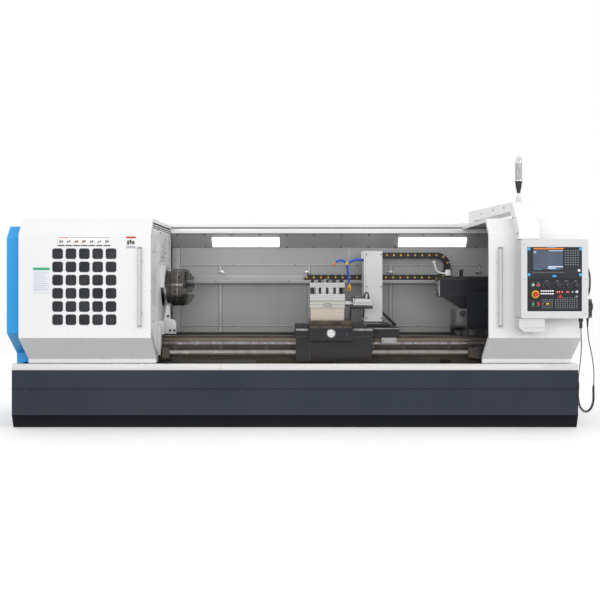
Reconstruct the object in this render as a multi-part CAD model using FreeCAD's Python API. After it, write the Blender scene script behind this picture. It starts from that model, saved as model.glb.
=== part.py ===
import FreeCAD, Part
import math
import os

# A flat-bed turning lathe. X runs along the bed, Y to the rear, Z up, from the floor
# under the bed's middle foot. Millimetres.

V = FreeCAD.Vector

# Driving sizes
BASE_LENGTH = 4950
BASE_DEPTH = 1600
BASE_HEIGHT = 504
TRAY_LIP = 55
COVER_TOP = 1824
FRONT_Y = -1038
SHEET = 4
PLATE = 6
AXIS_Y = -167
AXIS_Z = 1224
WAY_TOP = 792
CHUCK_DIA = 344
CHUCK_LENGTH = 130
SPINDLE_DIA = 170
SPINDLE_BORE = 104
QUILL_DIA = 120
SCREW_DIA = 45
LEFT_DOOR_LENGTH = 1126
RIGHT_DOOR_LENGTH = 787
WINDOW = 88
POST_SIDE = 316
PENDANT_WIDTH = 550
PENDANT_DEPTH = 228
PENDANT_HEIGHT = 648
BUTTON_DIA = 22

# Clearances
RUN = 0.08
SLIDE = 0.3
GAP = 2
SCREW_GAP = 0.5

# Places worked out from the driving sizes
LEFT = -BASE_LENGTH / 2
RIGHT = BASE_LENGTH / 2
BACK = BASE_DEPTH / 2
TRAY_TOP = BASE_HEIGHT + TRAY_LIP
PAN_TOP = BASE_HEIGHT + SHEET
COVER_FOOT = TRAY_TOP + GAP
DOOR_LEFT_X = LEFT + 124
DOOR_LEFT_END = DOOR_LEFT_X + LEFT_DOOR_LENGTH
DOOR_RIGHT_END = RIGHT - 38
DOOR_RIGHT_X = DOOR_RIGHT_END - RIGHT_DOOR_LENGTH
HEAD_FACE_X = DOOR_LEFT_END - 13
HOOD_X = DOOR_RIGHT_X + 250
ROOF_Y = 343
CHUCK_BACK_X = HEAD_FACE_X + 81
CHUCK_FACE_X = CHUCK_BACK_X + CHUCK_LENGTH
NOSE_X = CHUCK_BACK_X - 34
CHUCK_R = CHUCK_DIA / 2
SPINDLE_R = SPINDLE_DIA / 2
BORE_R = SPINDLE_BORE / 2
QUILL_R = QUILL_DIA / 2
SCREW_R = SCREW_DIA / 2

# Bed
RAIL_HALF = 45
RAIL_DEPTH = 52
FRONT_RAIL_Y = -467
REAR_RAIL_Y = 100
FOOT_LENGTH = 700
FOOT_X = 1750
FOOT_TOP = 575
FOOT_WALL = 40
ANCHOR_R = 13
ANCHOR_X = 2000
ANCHOR_Y = 370
BED_MID_Y = (FRONT_RAIL_Y + REAR_RAIL_Y) / 2
BED_FRONT = FRONT_RAIL_Y - RAIL_HALF
BED_BACK = REAR_RAIL_Y + RAIL_HALF

# Feed screw beside the bed
FEED_Y = -600
FEED_Z = 646
FEED_END_X = DOOR_RIGHT_X - 109

# Carriage
SADDLE_X = 0
SADDLE_END = 700
WING_END = 944
SADDLE_FRONT = -640
SADDLE_BACK = 180
SADDLE_UNDER = WAY_TOP + SLIDE
SADDLE_TOP = 862
GUIDE_TOP = 893
POST_X = 293
POST_Y = -292
POST_FOOT = 930
POST_JOINT = 1108
POST_TOP = 1268
COLUMN_X = 652
COLUMN_END = 828
COLUMN_TOP = 1569

# Cable chain
CHAIN_Y = 385
CHAIN_WIDTH = 80
CHAIN_DEPTH = 56
CHAIN_BEND_X = 1397
CHAIN_BEND_R = 110
CHAIN_MID_Z = 1428
CHAIN_FIXED_X = 110
SHELF_Z = CHAIN_MID_Z - CHAIN_BEND_R - CHAIN_DEPTH / 2 - 5
WALL_Y = 483
PANEL_DROP = 133
TRAY_RIM = 60

# Tailstock
TAIL_X = 1330
TAIL_END = 2080
TAIL_BODY_X = 1577
TAIL_HALF = 95

# Belt drive
PULLEY_X = LEFT + 35
PULLEY_WIDTH = 70
PULLEY_R = 130
MOTOR_PULLEY_R = 80
MOTOR_Y = 500
MOTOR_Z = 900
BELT = 8

# Operator's pendant
PENDANT_X = DOOR_RIGHT_X + 204
PENDANT_END = PENDANT_X + PENDANT_WIDTH
PENDANT_FRONT = FRONT_Y - 318
PENDANT_BACK = PENDANT_FRONT + PENDANT_DEPTH
PENDANT_TOP = COVER_TOP - 197
PENDANT_FOOT = PENDANT_TOP - PENDANT_HEIGHT
FACE_X = PENDANT_X + 50
FACE_END = PENDANT_END - 53
PANEL_FOOT = PENDANT_FOOT + 58
PANEL_TOP = PANEL_FOOT + 272
DISPLAY_FOOT = PANEL_TOP + 12
DISPLAY_TOP = PENDANT_TOP - 64
PANEL_FACE = PENDANT_FRONT + PLATE
ARM_X = PENDANT_X - 6
ARM_END = ARM_X + 169
SWIVEL_X = (ARM_X + ARM_END) / 2
SWIVEL_Y = (PENDANT_FRONT + PENDANT_BACK) / 2
CORD_Y = SWIVEL_Y - 8
POD_X = PENDANT_END + 23

CABINET_DEPTH = 400
CABINET_TOP = COVER_TOP + 56
CABINET_X = DOOR_RIGHT_X + 50

# Cord routes, chosen by hand: the thin lead out, the curly stretch, the thin lead back
CORD_R = 4
COIL_R = 12
LEAD_OUT = [
    (2427, 903), (2430, 845), (2438, 788), (2449, 735), (2461, 680),
    (2471, 622), (2478, 562), (2481, 500), (2478, 438),
]
CURL = [
    (2478, 438), (2474, 380), (2477, 322), (2472, 268), (2453, 222), (2422, 198),
    (2388, 206), (2362, 240), (2349, 290), (2345, 348), (2349, 406), (2351, 464),
]
LEAD_BACK = [
    (2351, 464), (2355, 522), (2362, 580), (2371, 638), (2374, 700), (2377, 764), (2374, 828), (2372, 893),
]


def box(x0, x1, y0, y1, z0, z1):
    return Part.makeBox(x1 - x0, y1 - y0, z1 - z0, V(x0, y0, z0))


def rod(x0, x1, y, z, r):
    return Part.makeCylinder(r, x1 - x0, V(x0, y, z), V(1, 0, 0))


def stud(x, y0, y1, z, r):
    return Part.makeCylinder(r, y1 - y0, V(x, y0, z), V(0, 1, 0))


def post(x, y, z0, z1, r):
    return Part.makeCylinder(r, z1 - z0, V(x, y, z0))


def prism(outline, x0, x1):
    """A closed (Y, Z) outline run along X."""
    points = [V(x0, y, z) for y, z in outline]
    wire = Part.makePolygon(points + [points[0]])
    return Part.Face(wire).extrude(V(x1 - x0, 0, 0))


def inward(line, t):
    """The line moved t to its right, with mitred corners."""
    moved = []
    for i, (y, z) in enumerate(line):
        sides = []
        for a, b in ((i - 1, i), (i, i + 1)):
            if a < 0 or b >= len(line):
                continue
            dy, dz = line[b][0] - line[a][0], line[b][1] - line[a][1]
            run = math.hypot(dy, dz)
            sides.append((dz / run, -dy / run))
        ny = sum(s[0] for s in sides) / len(sides)
        nz = sum(s[1] for s in sides) / len(sides)
        scale = t / (ny * ny + nz * nz)
        moved.append((y + ny * scale, z + nz * scale))
    return moved


def sheet(line, x0, x1, t=SHEET):
    return prism(line + inward(line, t)[::-1], x0, x1)


def join(shapes):
    return shapes[0].multiFuse(shapes[1:]).removeSplitter()


def group(shapes):
    return Part.makeCompound(shapes)


def arc_path(points):
    """Straight runs joined by arcs as large as the shorter run allows."""
    edges, start, radii = [], points[0], []
    for a, b, c in zip(points, points[1:], points[2:]):
        u, w = (b - a).normalize(), (c - b).normalize()
        half = u.getAngle(w) / 2
        back = 0.45 * min((b - a).Length, (c - b).Length)
        radii.append(back / math.tan(half))
        p, q = b - u * back, b + w * back
        middle = b + (w - u).normalize() * (radii[-1] / math.cos(half) - radii[-1])
        edges.append(Part.LineSegment(start, p).toShape())
        edges.append(Part.Arc(p, middle, q).toShape())
        start = q
    edges.append(Part.LineSegment(start, points[-1]).toShape())
    return Part.Wire(edges), radii


def tube(points, r):
    path, radii = arc_path(points)
    circle = Part.makeCircle(r, points[0], points[1] - points[0])
    solid = path.makePipeShell([Part.Wire([circle])], True, False)
    print("radii", [round(v) for v in radii], "length", round(path.Length),
          "volume ratio", round(solid.Volume / (math.pi * r * r * path.Length), 3))
    return solid


def bent_rod(points, r):
    """A bent bar of round section with ball corners."""
    parts = []
    for a, b in zip(points, points[1:]):
        parts.append(Part.makeCylinder(r, (b - a).Length, a, b - a))
    parts += [Part.makeSphere(r, p) for p in points[1:-1]]
    return join(parts)


def door_line():
    brow = COVER_TOP - 140
    return [(-725, COVER_FOOT), (-725, 597), (FRONT_Y, 800), (FRONT_Y, brow), (FRONT_Y + 138, COVER_TOP),
            (ROOF_Y - SHEET, COVER_TOP)]


def inner_line():
    """The fixed covers stand inside the doors."""
    front = FRONT_Y + 140
    top = COVER_TOP - 63
    return [(-587, TRAY_TOP), (-587, 640), (front, 835), (front, top - 105), (front + 111, top),
            (ROOF_Y - SHEET, top)]


def base_cabinet():
    kick = 113
    front = [(-BACK + 50, 0), (-BACK, kick), (-BACK, BASE_HEIGHT)]
    outer = prism(front + [(BACK, BASE_HEIGHT), (BACK, 0)], LEFT, RIGHT)
    room = inward(front, PLATE)
    room = [(room[0][0], -1)] + room + [(BACK - PLATE, BASE_HEIGHT), (BACK - PLATE, -1)]
    inner = prism(room, LEFT + PLATE, RIGHT - PLATE)
    return outer.cut(inner)


def foot_ends():
    return [(x - FOOT_LENGTH / 2, x + FOOT_LENGTH / 2) for x in (-FOOT_X, 0, FOOT_X)]


def chip_tray():
    tray = box(LEFT, RIGHT, -BACK, BACK, BASE_HEIGHT, TRAY_TOP)
    tray = tray.cut(box(LEFT + TRAY_RIM, RIGHT - TRAY_RIM, -BACK + TRAY_RIM, BACK - TRAY_RIM, PAN_TOP, TRAY_TOP))
    for x0, x1 in foot_ends():
        tray = tray.cut(box(x0 - GAP, x1 + GAP, BED_FRONT - 8 - GAP, BED_BACK + 15 + GAP, BASE_HEIGHT, PAN_TOP))
    return tray


def bed_foot(x0, x1):
    front, back = BED_FRONT - 8, BED_BACK + 15
    block = box(x0, x1, front, back, 0, FOOT_TOP)
    middle = (x0 + x1) / 2
    for a, b in ((x0 + FOOT_WALL, middle - FOOT_WALL / 2), (middle + FOOT_WALL / 2, x1 - FOOT_WALL)):
        block = block.cut(box(a, b, front + FOOT_WALL, back, FOOT_WALL, FOOT_TOP - FOOT_WALL))
    flange = box(x0, x1, BED_MID_Y - 420, BED_MID_Y + 420, 0, FOOT_WALL)
    return join([block, flange])


def bed():
    start, end = DOOR_LEFT_X + 60, DOOR_RIGHT_END - 60
    parts = [bed_foot(x0, x1) for x0, x1 in foot_ends()]
    for y in (FRONT_RAIL_Y, REAR_RAIL_Y):
        parts.append(box(start, end, y - RAIL_HALF, y + RAIL_HALF, WAY_TOP - RAIL_DEPTH, WAY_TOP))
        parts.append(box(start, end, y - 28, y + 28, FOOT_TOP, WAY_TOP - RAIL_DEPTH))
        parts.append(box(start, end, y - 40, y + 40, FOOT_TOP, FOOT_TOP + 26))
    ribs = 11
    step = (end - start - FOOT_WALL) / (ribs - 1)
    for i in range(ribs):
        x = start + i * step
        parts.append(box(x, x + FOOT_WALL, FRONT_RAIL_Y, REAR_RAIL_Y, FOOT_TOP, WAY_TOP - 80))
    for x in (NOSE_X + 10, FEED_END_X):
        parts.append(box(x, x + 60, FEED_Y - 45, FRONT_RAIL_Y - 28, FEED_Z - 45, FEED_Z + 45))
    whole = join(parts)
    for x in (NOSE_X + 10, FEED_END_X):
        whole = whole.cut(rod(x - 1, x + 61, FEED_Y, FEED_Z, SCREW_R + RUN))
    for sx in (-1, 1):
        for sy in (-1, 1):
            whole = whole.cut(post(sx * ANCHOR_X, BED_MID_Y + sy * ANCHOR_Y, 0, FOOT_WALL, ANCHOR_R))
    return whole


def headstock():
    x0, x1, wall = DOOR_LEFT_X + 60, HEAD_FACE_X - 30, 50
    y0, y1, top = AXIS_Y - 285, AXIS_Y + 297, AXIS_Z + 280
    block = box(x0, x1, y0, y1, WAY_TOP, top)
    block = block.cut(box(x0 + wall, x1 - wall, y0 + wall, y1 - wall, WAY_TOP, top - wall))
    return block.cut(rod(x0 - 1, x1 + 1, AXIS_Y, AXIS_Z, SPINDLE_R + RUN))


def headstock_cover():
    x0, x1 = DOOR_LEFT_X, HEAD_FACE_X + SHEET
    shell = sheet(inner_line(), x0, x1)
    line = inner_line()
    plate = prism(line + [(ROOF_Y - SHEET, TRAY_TOP)], x1 - SHEET, x1)
    plate = plate.cut(box(x1 - 10, x1 + 10, BED_FRONT - 12, BED_BACK + 15 + GAP, TRAY_TOP - 1, WAY_TOP + 8))
    plate = plate.cut(rod(x1 - 10, x1 + 10, AXIS_Y, AXIS_Z, CHUCK_R + 8))
    return join([shell, plate])


def end_cover():
    x0, x1 = LEFT - 15, DOOR_LEFT_X
    line = inner_line()
    line = line[:-1] + [(BACK - SHEET, line[-1][1]), (BACK - SHEET, TRAY_TOP)]
    shell = sheet(line, x0, x1)
    latch = box(x0 - 16, x0 + SHEET / 2, FRONT_Y + 518, FRONT_Y + 548, 1000, 1110)
    return join([shell, prism(line, x0, x0 + SHEET), latch])


def tail_cover():
    x0, x1 = HOOD_X, DOOR_RIGHT_END
    line = inner_line()
    shell = sheet(line, x0, x1)
    end = line + [(BACK - SHEET, line[-1][1]), (BACK - SHEET, TRAY_TOP)]
    return join([shell, prism(end, x1 - SHEET, x1)])


def guard_line():
    fascia = COVER_TOP - 77
    return [(ROOF_Y, COVER_TOP - SHEET), (ROOF_Y, fascia), (WALL_Y, fascia - PANEL_DROP), (WALL_Y, PAN_TOP)]


def back_guard():
    wall = sheet(guard_line(), HEAD_FACE_X + SHEET, RIGHT - TRAY_RIM, -SHEET)
    shelf = box(DOOR_LEFT_END + 222, CHAIN_BEND_X + 33, 365, WALL_Y, SHELF_Z, SHELF_Z + SHEET)
    front = box(DOOR_LEFT_END + 222, CHAIN_BEND_X + 33, 365, 365 + SHEET, SHELF_Z - 24, SHELF_Z + 8)
    return join([wall, shelf, front])


def rear_cover():
    roof = box(DOOR_LEFT_X, DOOR_RIGHT_END, ROOF_Y, BACK, COVER_TOP - SHEET, COVER_TOP)
    wall = box(DOOR_LEFT_X, DOOR_RIGHT_END, BACK - SHEET, BACK, TRAY_TOP, COVER_TOP)
    parts = [roof, wall]
    for x in (DOOR_LEFT_X, DOOR_RIGHT_END - SHEET):
        parts.append(box(x, x + SHEET, ROOF_Y, BACK, COVER_TOP - 63, COVER_TOP))
    return join(parts)


def work_lamps():
    """Two flat lamps lie on the sloping panel under the roof."""
    fascia = COVER_TOP - 77
    middle_y, middle_z = (ROOF_Y + WALL_Y) / 2, fascia - PANEL_DROP / 2
    lamps = []
    for x, length in ((-829, 669), (1021, 676)):
        lamp = box(x, x + length, -60, 60, 0, 24)
        lamp = lamp.makeFillet(10, [e for e in lamp.Edges if abs(e.BoundBox.ZLength - 24) < 0.1])
        slope = math.degrees(math.atan2(-PANEL_DROP, WALL_Y - ROOF_Y))
        lamp.rotate(V(0, 0, 0), V(1, 0, 0), 180 + slope)
        lamp.translate(V(0, middle_y, middle_z))
        lamps.append(lamp)
    return group(lamps)


def spindle():
    shaft = rod(PULLEY_X, NOSE_X, AXIS_Y, AXIS_Z, SPINDLE_R)
    nose = rod(NOSE_X - 24, NOSE_X, AXIS_Y, AXIS_Z, 122)
    return join([shaft, nose]).cut(rod(PULLEY_X - 1, NOSE_X + 1, AXIS_Y, AXIS_Z, BORE_R))


JAW_TURN = 12
JAW_WIDTH = 44
SLOT_DEPTH = 30


def turned(shape, quarter):
    shape.rotate(V(0, AXIS_Y, AXIS_Z), V(1, 0, 0), JAW_TURN + 90 * quarter)
    return shape


def chuck_body():
    body = rod(CHUCK_BACK_X, CHUCK_FACE_X, AXIS_Y, AXIS_Z, CHUCK_R)
    body = body.makeChamfer(6, [e for e in body.Edges if abs(e.Length - 2 * math.pi * CHUCK_R) < 1])
    backplate = rod(NOSE_X, CHUCK_BACK_X, AXIS_Y, AXIS_Z, CHUCK_R - 19)
    body = join([body, backplate]).cut(rod(NOSE_X - 1, CHUCK_FACE_X + 1, AXIS_Y, AXIS_Z, BORE_R))
    for i in range(4):
        slot = box(CHUCK_FACE_X - SLOT_DEPTH, CHUCK_FACE_X + 1, AXIS_Y - JAW_WIDTH / 2, AXIS_Y + JAW_WIDTH / 2,
                   AXIS_Z, AXIS_Z + CHUCK_R + 9)
        key = box(CHUCK_BACK_X + 40, CHUCK_BACK_X + 58, AXIS_Y - 9, AXIS_Y + 9,
                  AXIS_Z + CHUCK_R - 25, AXIS_Z + CHUCK_R + 9)
        body = body.cut(turned(slot, i)).cut(turned(key, i))
    return body


def jaw(i):
    """Three steps, the tallest at the centre end."""
    half = JAW_WIDTH / 2 - SLIDE
    inner, back = AXIS_Z + 72, CHUCK_FACE_X - SLOT_DEPTH + 2 * SLIDE
    steps = ((0, 34, 75), (34, 64, 52), (64, 92, 28))
    parts = [box(back, CHUCK_FACE_X, AXIS_Y - half, AXIS_Y + half, inner, inner + 92)]
    for a, b, tall in steps:
        parts.append(box(CHUCK_FACE_X, CHUCK_FACE_X + tall, AXIS_Y - half, AXIS_Y + half, inner + a, inner + b))
    return turned(join(parts), i)


def pulley(y, z, r, bore):
    wheel = rod(PULLEY_X, PULLEY_X + PULLEY_WIDTH, y, z, r)
    for x in (PULLEY_X, PULLEY_X + PULLEY_WIDTH - 5):
        wheel = join([wheel, rod(x, x + 5, y, z, r + BELT)])
    return wheel.cut(rod(PULLEY_X - 1, PULLEY_X + PULLEY_WIDTH + 1, y, z, bore)) if bore else wheel


def spindle_pulley():
    return pulley(AXIS_Y, AXIS_Z, PULLEY_R, SPINDLE_R)


def motor_pulley():
    wheel = pulley(MOTOR_Y, MOTOR_Z, MOTOR_PULLEY_R, 0)
    shaft = rod(PULLEY_X + PULLEY_WIDTH, DOOR_LEFT_X + 93, MOTOR_Y, MOTOR_Z, 24)
    return join([wheel, shaft])


def loop_face(r1, r2, x):
    """The outline of a belt round both pulleys."""
    a, b = V(x, AXIS_Y, AXIS_Z), V(x, MOTOR_Y, MOTOR_Z)
    line = b - a
    lean = math.acos((r1 - r2) / line.Length)
    along = line.normalize()
    side = V(1, 0, 0).cross(along)
    ends = []
    for s in (1, -1):
        n = along * math.cos(lean) + side * (s * math.sin(lean))
        ends.append((a + n * r1, b + n * r2))
    (a1, b1), (a2, b2) = ends
    edges = [
        Part.LineSegment(a1, b1).toShape(),
        Part.Arc(b1, b + along * r2, b2).toShape(),
        Part.LineSegment(b2, a2).toShape(),
        Part.Arc(a2, a - along * r1, a1).toShape(),
    ]
    return Part.Face(Part.Wire(edges))


def drive_belt():
    x, width = PULLEY_X + 5 + GAP, PULLEY_WIDTH - 10 - 2 * GAP
    outer = loop_face(PULLEY_R + BELT, MOTOR_PULLEY_R + BELT, x).extrude(V(width, 0, 0))
    inner = loop_face(PULLEY_R + SLIDE, MOTOR_PULLEY_R + SLIDE, x).extrude(V(width, 0, 0))
    return outer.cut(inner)


def main_motor():
    x0, x1 = DOOR_LEFT_X + 70, DOOR_LEFT_X + 520
    drum = rod(x0, x1, MOTOR_Y, MOTOR_Z, 145)
    stand = box(x0 + 60, x1 - 60, MOTOR_Y - 110, MOTOR_Y + 110, PAN_TOP, MOTOR_Z - 90)
    return join([drum, stand]).cut(rod(x0 - 1, x0 + 30, MOTOR_Y, MOTOR_Z, 24 + RUN))


def z_screw():
    return rod(NOSE_X + 10, FEED_END_X + 100, FEED_Y, FEED_Z, SCREW_R)


def z_motor():
    x = FEED_END_X + 60
    flange = box(x, x + 50, FEED_Y - 55, FEED_Y + 55, FEED_Z - 55, FEED_Z + 55)
    body = box(x + 50, x + 230, FEED_Y - 48, FEED_Y + 48, FEED_Z - 48, FEED_Z + 48)
    return join([flange, body]).cut(rod(x - 1, x + 42, FEED_Y, FEED_Z, SCREW_R + RUN))


def saddle():
    plate = box(SADDLE_X, SADDLE_END, SADDLE_FRONT, SADDLE_BACK, SADDLE_UNDER, SADDLE_TOP)
    wing = box(SADDLE_END, WING_END, -420, SADDLE_BACK, SADDLE_UNDER, SADDLE_TOP)
    guide = box(POST_X - 143, POST_X + 143, SADDLE_FRONT, SADDLE_BACK - 30, SADDLE_TOP, GUIDE_TOP - SLIDE)
    nose = box(POST_X - 168, POST_X + 217, SADDLE_FRONT - 50, SADDLE_FRONT, 755, GUIDE_TOP - 4)
    plug = stud(POST_X + 26, SADDLE_FRONT - 58, SADDLE_FRONT - 50, 820, 35)
    return join([plate, wing, guide, nose, plug])


def apron():
    block = box(SADDLE_X + 8, SADDLE_END - 13, SADDLE_FRONT, BED_FRONT - 12, TRAY_TOP + 6, SADDLE_UNDER)
    nut_x = (SADDLE_X + SADDLE_END) / 2
    wide = rod(SADDLE_X - 1, SADDLE_END + 1, FEED_Y, FEED_Z, SCREW_R + 8)
    nut = rod(nut_x - 40, nut_x + 40, FEED_Y, FEED_Z, SCREW_R + 8)
    nut = nut.cut(rod(nut_x - 41, nut_x + 41, FEED_Y, FEED_Z, SCREW_R + SCREW_GAP))
    return join([block.cut(wide), nut])


def column_cover():
    back, foot = 340, SADDLE_TOP + 36
    shell = box(COLUMN_X, COLUMN_END, -18, back, foot, COLUMN_TOP)
    shell = shell.cut(box(COLUMN_X + SHEET, COLUMN_END - SHEET, -18 + SHEET, back - SHEET, foot, COLUMN_TOP - SHEET))
    flange = box(COLUMN_X - 7, COLUMN_END + 7, -25, SADDLE_BACK - 5, SADDLE_TOP, foot)
    chain_low = CHAIN_MID_Z + CHAIN_BEND_R - CHAIN_DEPTH / 2
    bracket = box(COLUMN_X, COLUMN_END, back, CHAIN_Y + CHAIN_WIDTH, chain_low - 5, chain_low)
    return join([shell, flange, bracket])


def chain_run(x0, x1, middle):
    half = CHAIN_DEPTH / 2
    return box(x0, x1, CHAIN_Y, CHAIN_Y + CHAIN_WIDTH, middle - half, middle + half)


def chain_lower():
    return chain_run(CHAIN_FIXED_X, CHAIN_BEND_X - 404, CHAIN_MID_Z - CHAIN_BEND_R)


def chain_upper():
    return chain_run(COLUMN_END - 28, CHAIN_BEND_X - 80, CHAIN_MID_Z + CHAIN_BEND_R)


def chain_bend():
    half = CHAIN_DEPTH / 2
    ring = stud(CHAIN_BEND_X, CHAIN_Y, CHAIN_Y + CHAIN_WIDTH, CHAIN_MID_Z, CHAIN_BEND_R + half)
    ring = ring.cut(stud(CHAIN_BEND_X, CHAIN_Y, CHAIN_Y + CHAIN_WIDTH, CHAIN_MID_Z, CHAIN_BEND_R - half))
    reach = CHAIN_BEND_R + CHAIN_DEPTH
    side = box(CHAIN_BEND_X - reach, CHAIN_BEND_X, CHAIN_Y, CHAIN_Y + CHAIN_WIDTH,
               CHAIN_MID_Z - reach, CHAIN_MID_Z + reach)
    return ring.cut(side)


def cross_slide():
    return box(POST_X - 168, POST_X + 217, SADDLE_FRONT, -20, GUIDE_TOP, POST_FOOT)


def post_box(inset, z0, z1):
    half = POST_SIDE / 2 - inset
    return box(POST_X - half, POST_X + half, POST_Y - half, POST_Y + half, z0, z1)


def turret_base():
    return join([post_box(6, POST_FOOT, POST_FOOT + 104), post_box(0, POST_FOOT + 104, POST_JOINT)])


def turret_head():
    lower = post_box(0, POST_JOINT + GAP, POST_JOINT + 57)
    core = post_box(52, POST_JOINT + 57, POST_TOP - 43)
    top = post_box(0, POST_TOP - 43, POST_TOP)
    cap = post(POST_X, POST_Y, POST_TOP, POST_TOP + 22, 46)
    return join([lower, core, top, cap])


def turret_motor():
    x, z = POST_X + POST_SIDE / 2, POST_JOINT - 33
    cone = Part.makeCone(30, 18, 78, V(x, POST_Y, z), V(1, 0, 0))
    flange = rod(x + 78, x + 96, POST_Y, z, 52)
    body = rod(x + 96, x + 260, POST_Y, z, 48)
    return join([cone, flange, body])


def coolant_hose():
    """The supply from the column, a wye, a nozzle over the post and a drop to the tap."""
    y, wye = -40, V(490, -40, 1452)
    supply = bent_rod([V(COLUMN_X, 30, 1488), V(610, 30, 1488), V(548, -20, 1484), wye], 10)
    spray = bent_rod([wye, V(440, -50, 1476), V(394, -64, 1472), V(352, -80, 1438)], 10)
    drop = bent_rod([wye, V(494, y, 1400), V(506, y, 1330), V(512, y, 1232)], 10)
    body = box(497, 527, y - 14, y + 14, 1196, 1234)
    fitting = post(512, y, 1150, 1196, 9)
    hub = Part.makeSphere(17, wye)
    return join([supply, spray, drop, body, fitting, hub])


def coolant_tap():
    lever = box(506, 518, -66, -60, 1206, 1262)
    return join([lever, stud(512, -60, -54 - SLIDE, 1215, 8)])


def tailstock_body():
    base = box(TAIL_BODY_X, TAIL_END, BED_FRONT - 40, BED_BACK + 30, SADDLE_UNDER, SADDLE_UNDER + 60)
    trunk = box(TAIL_BODY_X, TAIL_END, AXIS_Y - 190, AXIS_Y + 190, SADDLE_UNDER + 60, AXIS_Z - 40)
    barrel = box(TAIL_X, TAIL_END, AXIS_Y - TAIL_HALF, AXIS_Y + TAIL_HALF, AXIS_Z - 90, AXIS_Z + 102)
    barrel = barrel.makeChamfer(34, [e for e in barrel.Edges
                                     if e.BoundBox.XLength > 300 and e.BoundBox.ZMax > AXIS_Z])
    outline = [V(TAIL_X + 51, AXIS_Y - 60, AXIS_Z - 90), V(TAIL_BODY_X, AXIS_Y - 60, AXIS_Z - 90),
               V(TAIL_BODY_X, AXIS_Y - 60, AXIS_Z - 214)]
    web = Part.Face(Part.makePolygon(outline + [outline[0]])).extrude(V(0, 120, 0))
    boss = box(TAIL_X + 60, TAIL_X + 130, AXIS_Y - 35, AXIS_Y + 35, AXIS_Z + 102, AXIS_Z + 170)
    whole = join([base, trunk, barrel, web, boss])
    return whole.cut(rod(TAIL_X - 1, TAIL_END - 60, AXIS_Y, AXIS_Z, QUILL_R + RUN))


def quill():
    sleeve = rod(TAIL_X - 8, TAIL_X + 470, AXIS_Y, AXIS_Z, QUILL_R)
    return sleeve.cut(rod(TAIL_X - 9, TAIL_X + 142, AXIS_Y, AXIS_Z, 31))


def tailstock_wheel():
    x = TAIL_END + GAP
    hub = rod(x, x + 70, AXIS_Y, AXIS_Z, 30)
    rim = Part.makeTorus(115, 12, V(x + 50, AXIS_Y, AXIS_Z), V(1, 0, 0))
    parts = [hub, rim]
    for i in range(3):
        spoke = Part.makeCylinder(8, 112, V(x + 50, AXIS_Y, AXIS_Z))
        spoke.rotate(V(0, AXIS_Y, AXIS_Z), V(1, 0, 0), 120 * i)
        parts.append(spoke)
    handle = rod(x + 60, x + 130, AXIS_Y, AXIS_Z + 115, 10)
    return join(parts + [handle])


def clamp_lever():
    x, y, z = TAIL_X + 95, AXIS_Y - 35, AXIS_Z + 137
    hub = stud(x, y - 30, y - SLIDE, z, 28)
    arm = bent_rod([V(x, y - 16, z), V(x - 88, y - 20, z + 10), V(x - 138, y - 26, z + 108)], 9)
    knob = Part.makeSphere(15, V(x - 138, y - 26, z + 108))
    return join([hub, arm, knob])


def window_places():
    x_mid, z_mid = DOOR_LEFT_X + 562, (800 + COVER_TOP - 140) / 2 - 6
    for row in range(6):
        for column in range(5):
            yield x_mid + (column - 2) * 113.5, z_mid + (row - 2.5) * 112.2


def door(x0, x1):
    shell = sheet(door_line(), x0, x1)
    deep = door_line()
    ends = [sheet(deep, x, x + SHEET, 32) for x in (x0, x1 - SHEET)]
    return join([shell] + ends)


def left_door():
    shell = door(DOOR_LEFT_X + GAP, DOOR_LEFT_END)
    half, cut = WINDOW / 2, 14
    corners = [(-half, cut - half), (cut - half, -half), (half - cut, -half), (half, cut - half),
               (half, half - cut), (half - cut, half), (cut - half, half), (-half, half - cut)]
    holes = []
    for x, z in window_places():
        points = [V(x + a, FRONT_Y - 5, z + b) for a, b in corners]
        holes.append(Part.Face(Part.makePolygon(points + [points[0]])).extrude(V(0, 20, 0)))
    return shell.cut(group(holes))


def left_windows():
    half, y = WINDOW / 2 + 6, FRONT_Y + SHEET
    return group([box(x - half, x + half, y, y + 4, z - half, z + half) for x, z in window_places()])


def right_door():
    return door(DOOR_RIGHT_X, DOOR_RIGHT_END - GAP)


def door_handle(x0, x1):
    low, high = 897, COVER_TOP - 253
    bar = box(x0, x1, FRONT_Y - 75, FRONT_Y - 45, low, high)
    bar = bar.makeFillet(10, [e for e in bar.Edges if e.BoundBox.ZLength > 100])
    middle = (x0 + x1) / 2
    feet = [stud(middle, FRONT_Y - 50, FRONT_Y, z, 12) for z in (low + 113, high - 121)]
    return join([bar] + feet)


def left_handle():
    return door_handle(DOOR_LEFT_END - 102, DOOR_LEFT_END - 68)


def right_handle():
    return door_handle(DOOR_RIGHT_X + 70, DOOR_RIGHT_X + 104)


def electrical_cabinet():
    outer = box(CABINET_X, DOOR_RIGHT_END, BACK, BACK + CABINET_DEPTH, 0, CABINET_TOP)
    room = box(CABINET_X + SHEET, DOOR_RIGHT_END - SHEET, BACK + SHEET, BACK + CABINET_DEPTH + 1, 40,
               CABINET_TOP - SHEET)
    return outer.cut(room)


def cabinet_door():
    back = BACK + CABINET_DEPTH + 1
    panel = box(CABINET_X + 10, DOOR_RIGHT_END - 10, back, back + 24, 60, CABINET_TOP - 20)
    inner = box(CABINET_X + 14, DOOR_RIGHT_END - 14, back - 1, back + 21, 64, CABINET_TOP - 24)
    latch = stud(CABINET_X + 60, back + 24, back + 58, 1000, 18)
    return join([panel.cut(inner), latch])


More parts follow.
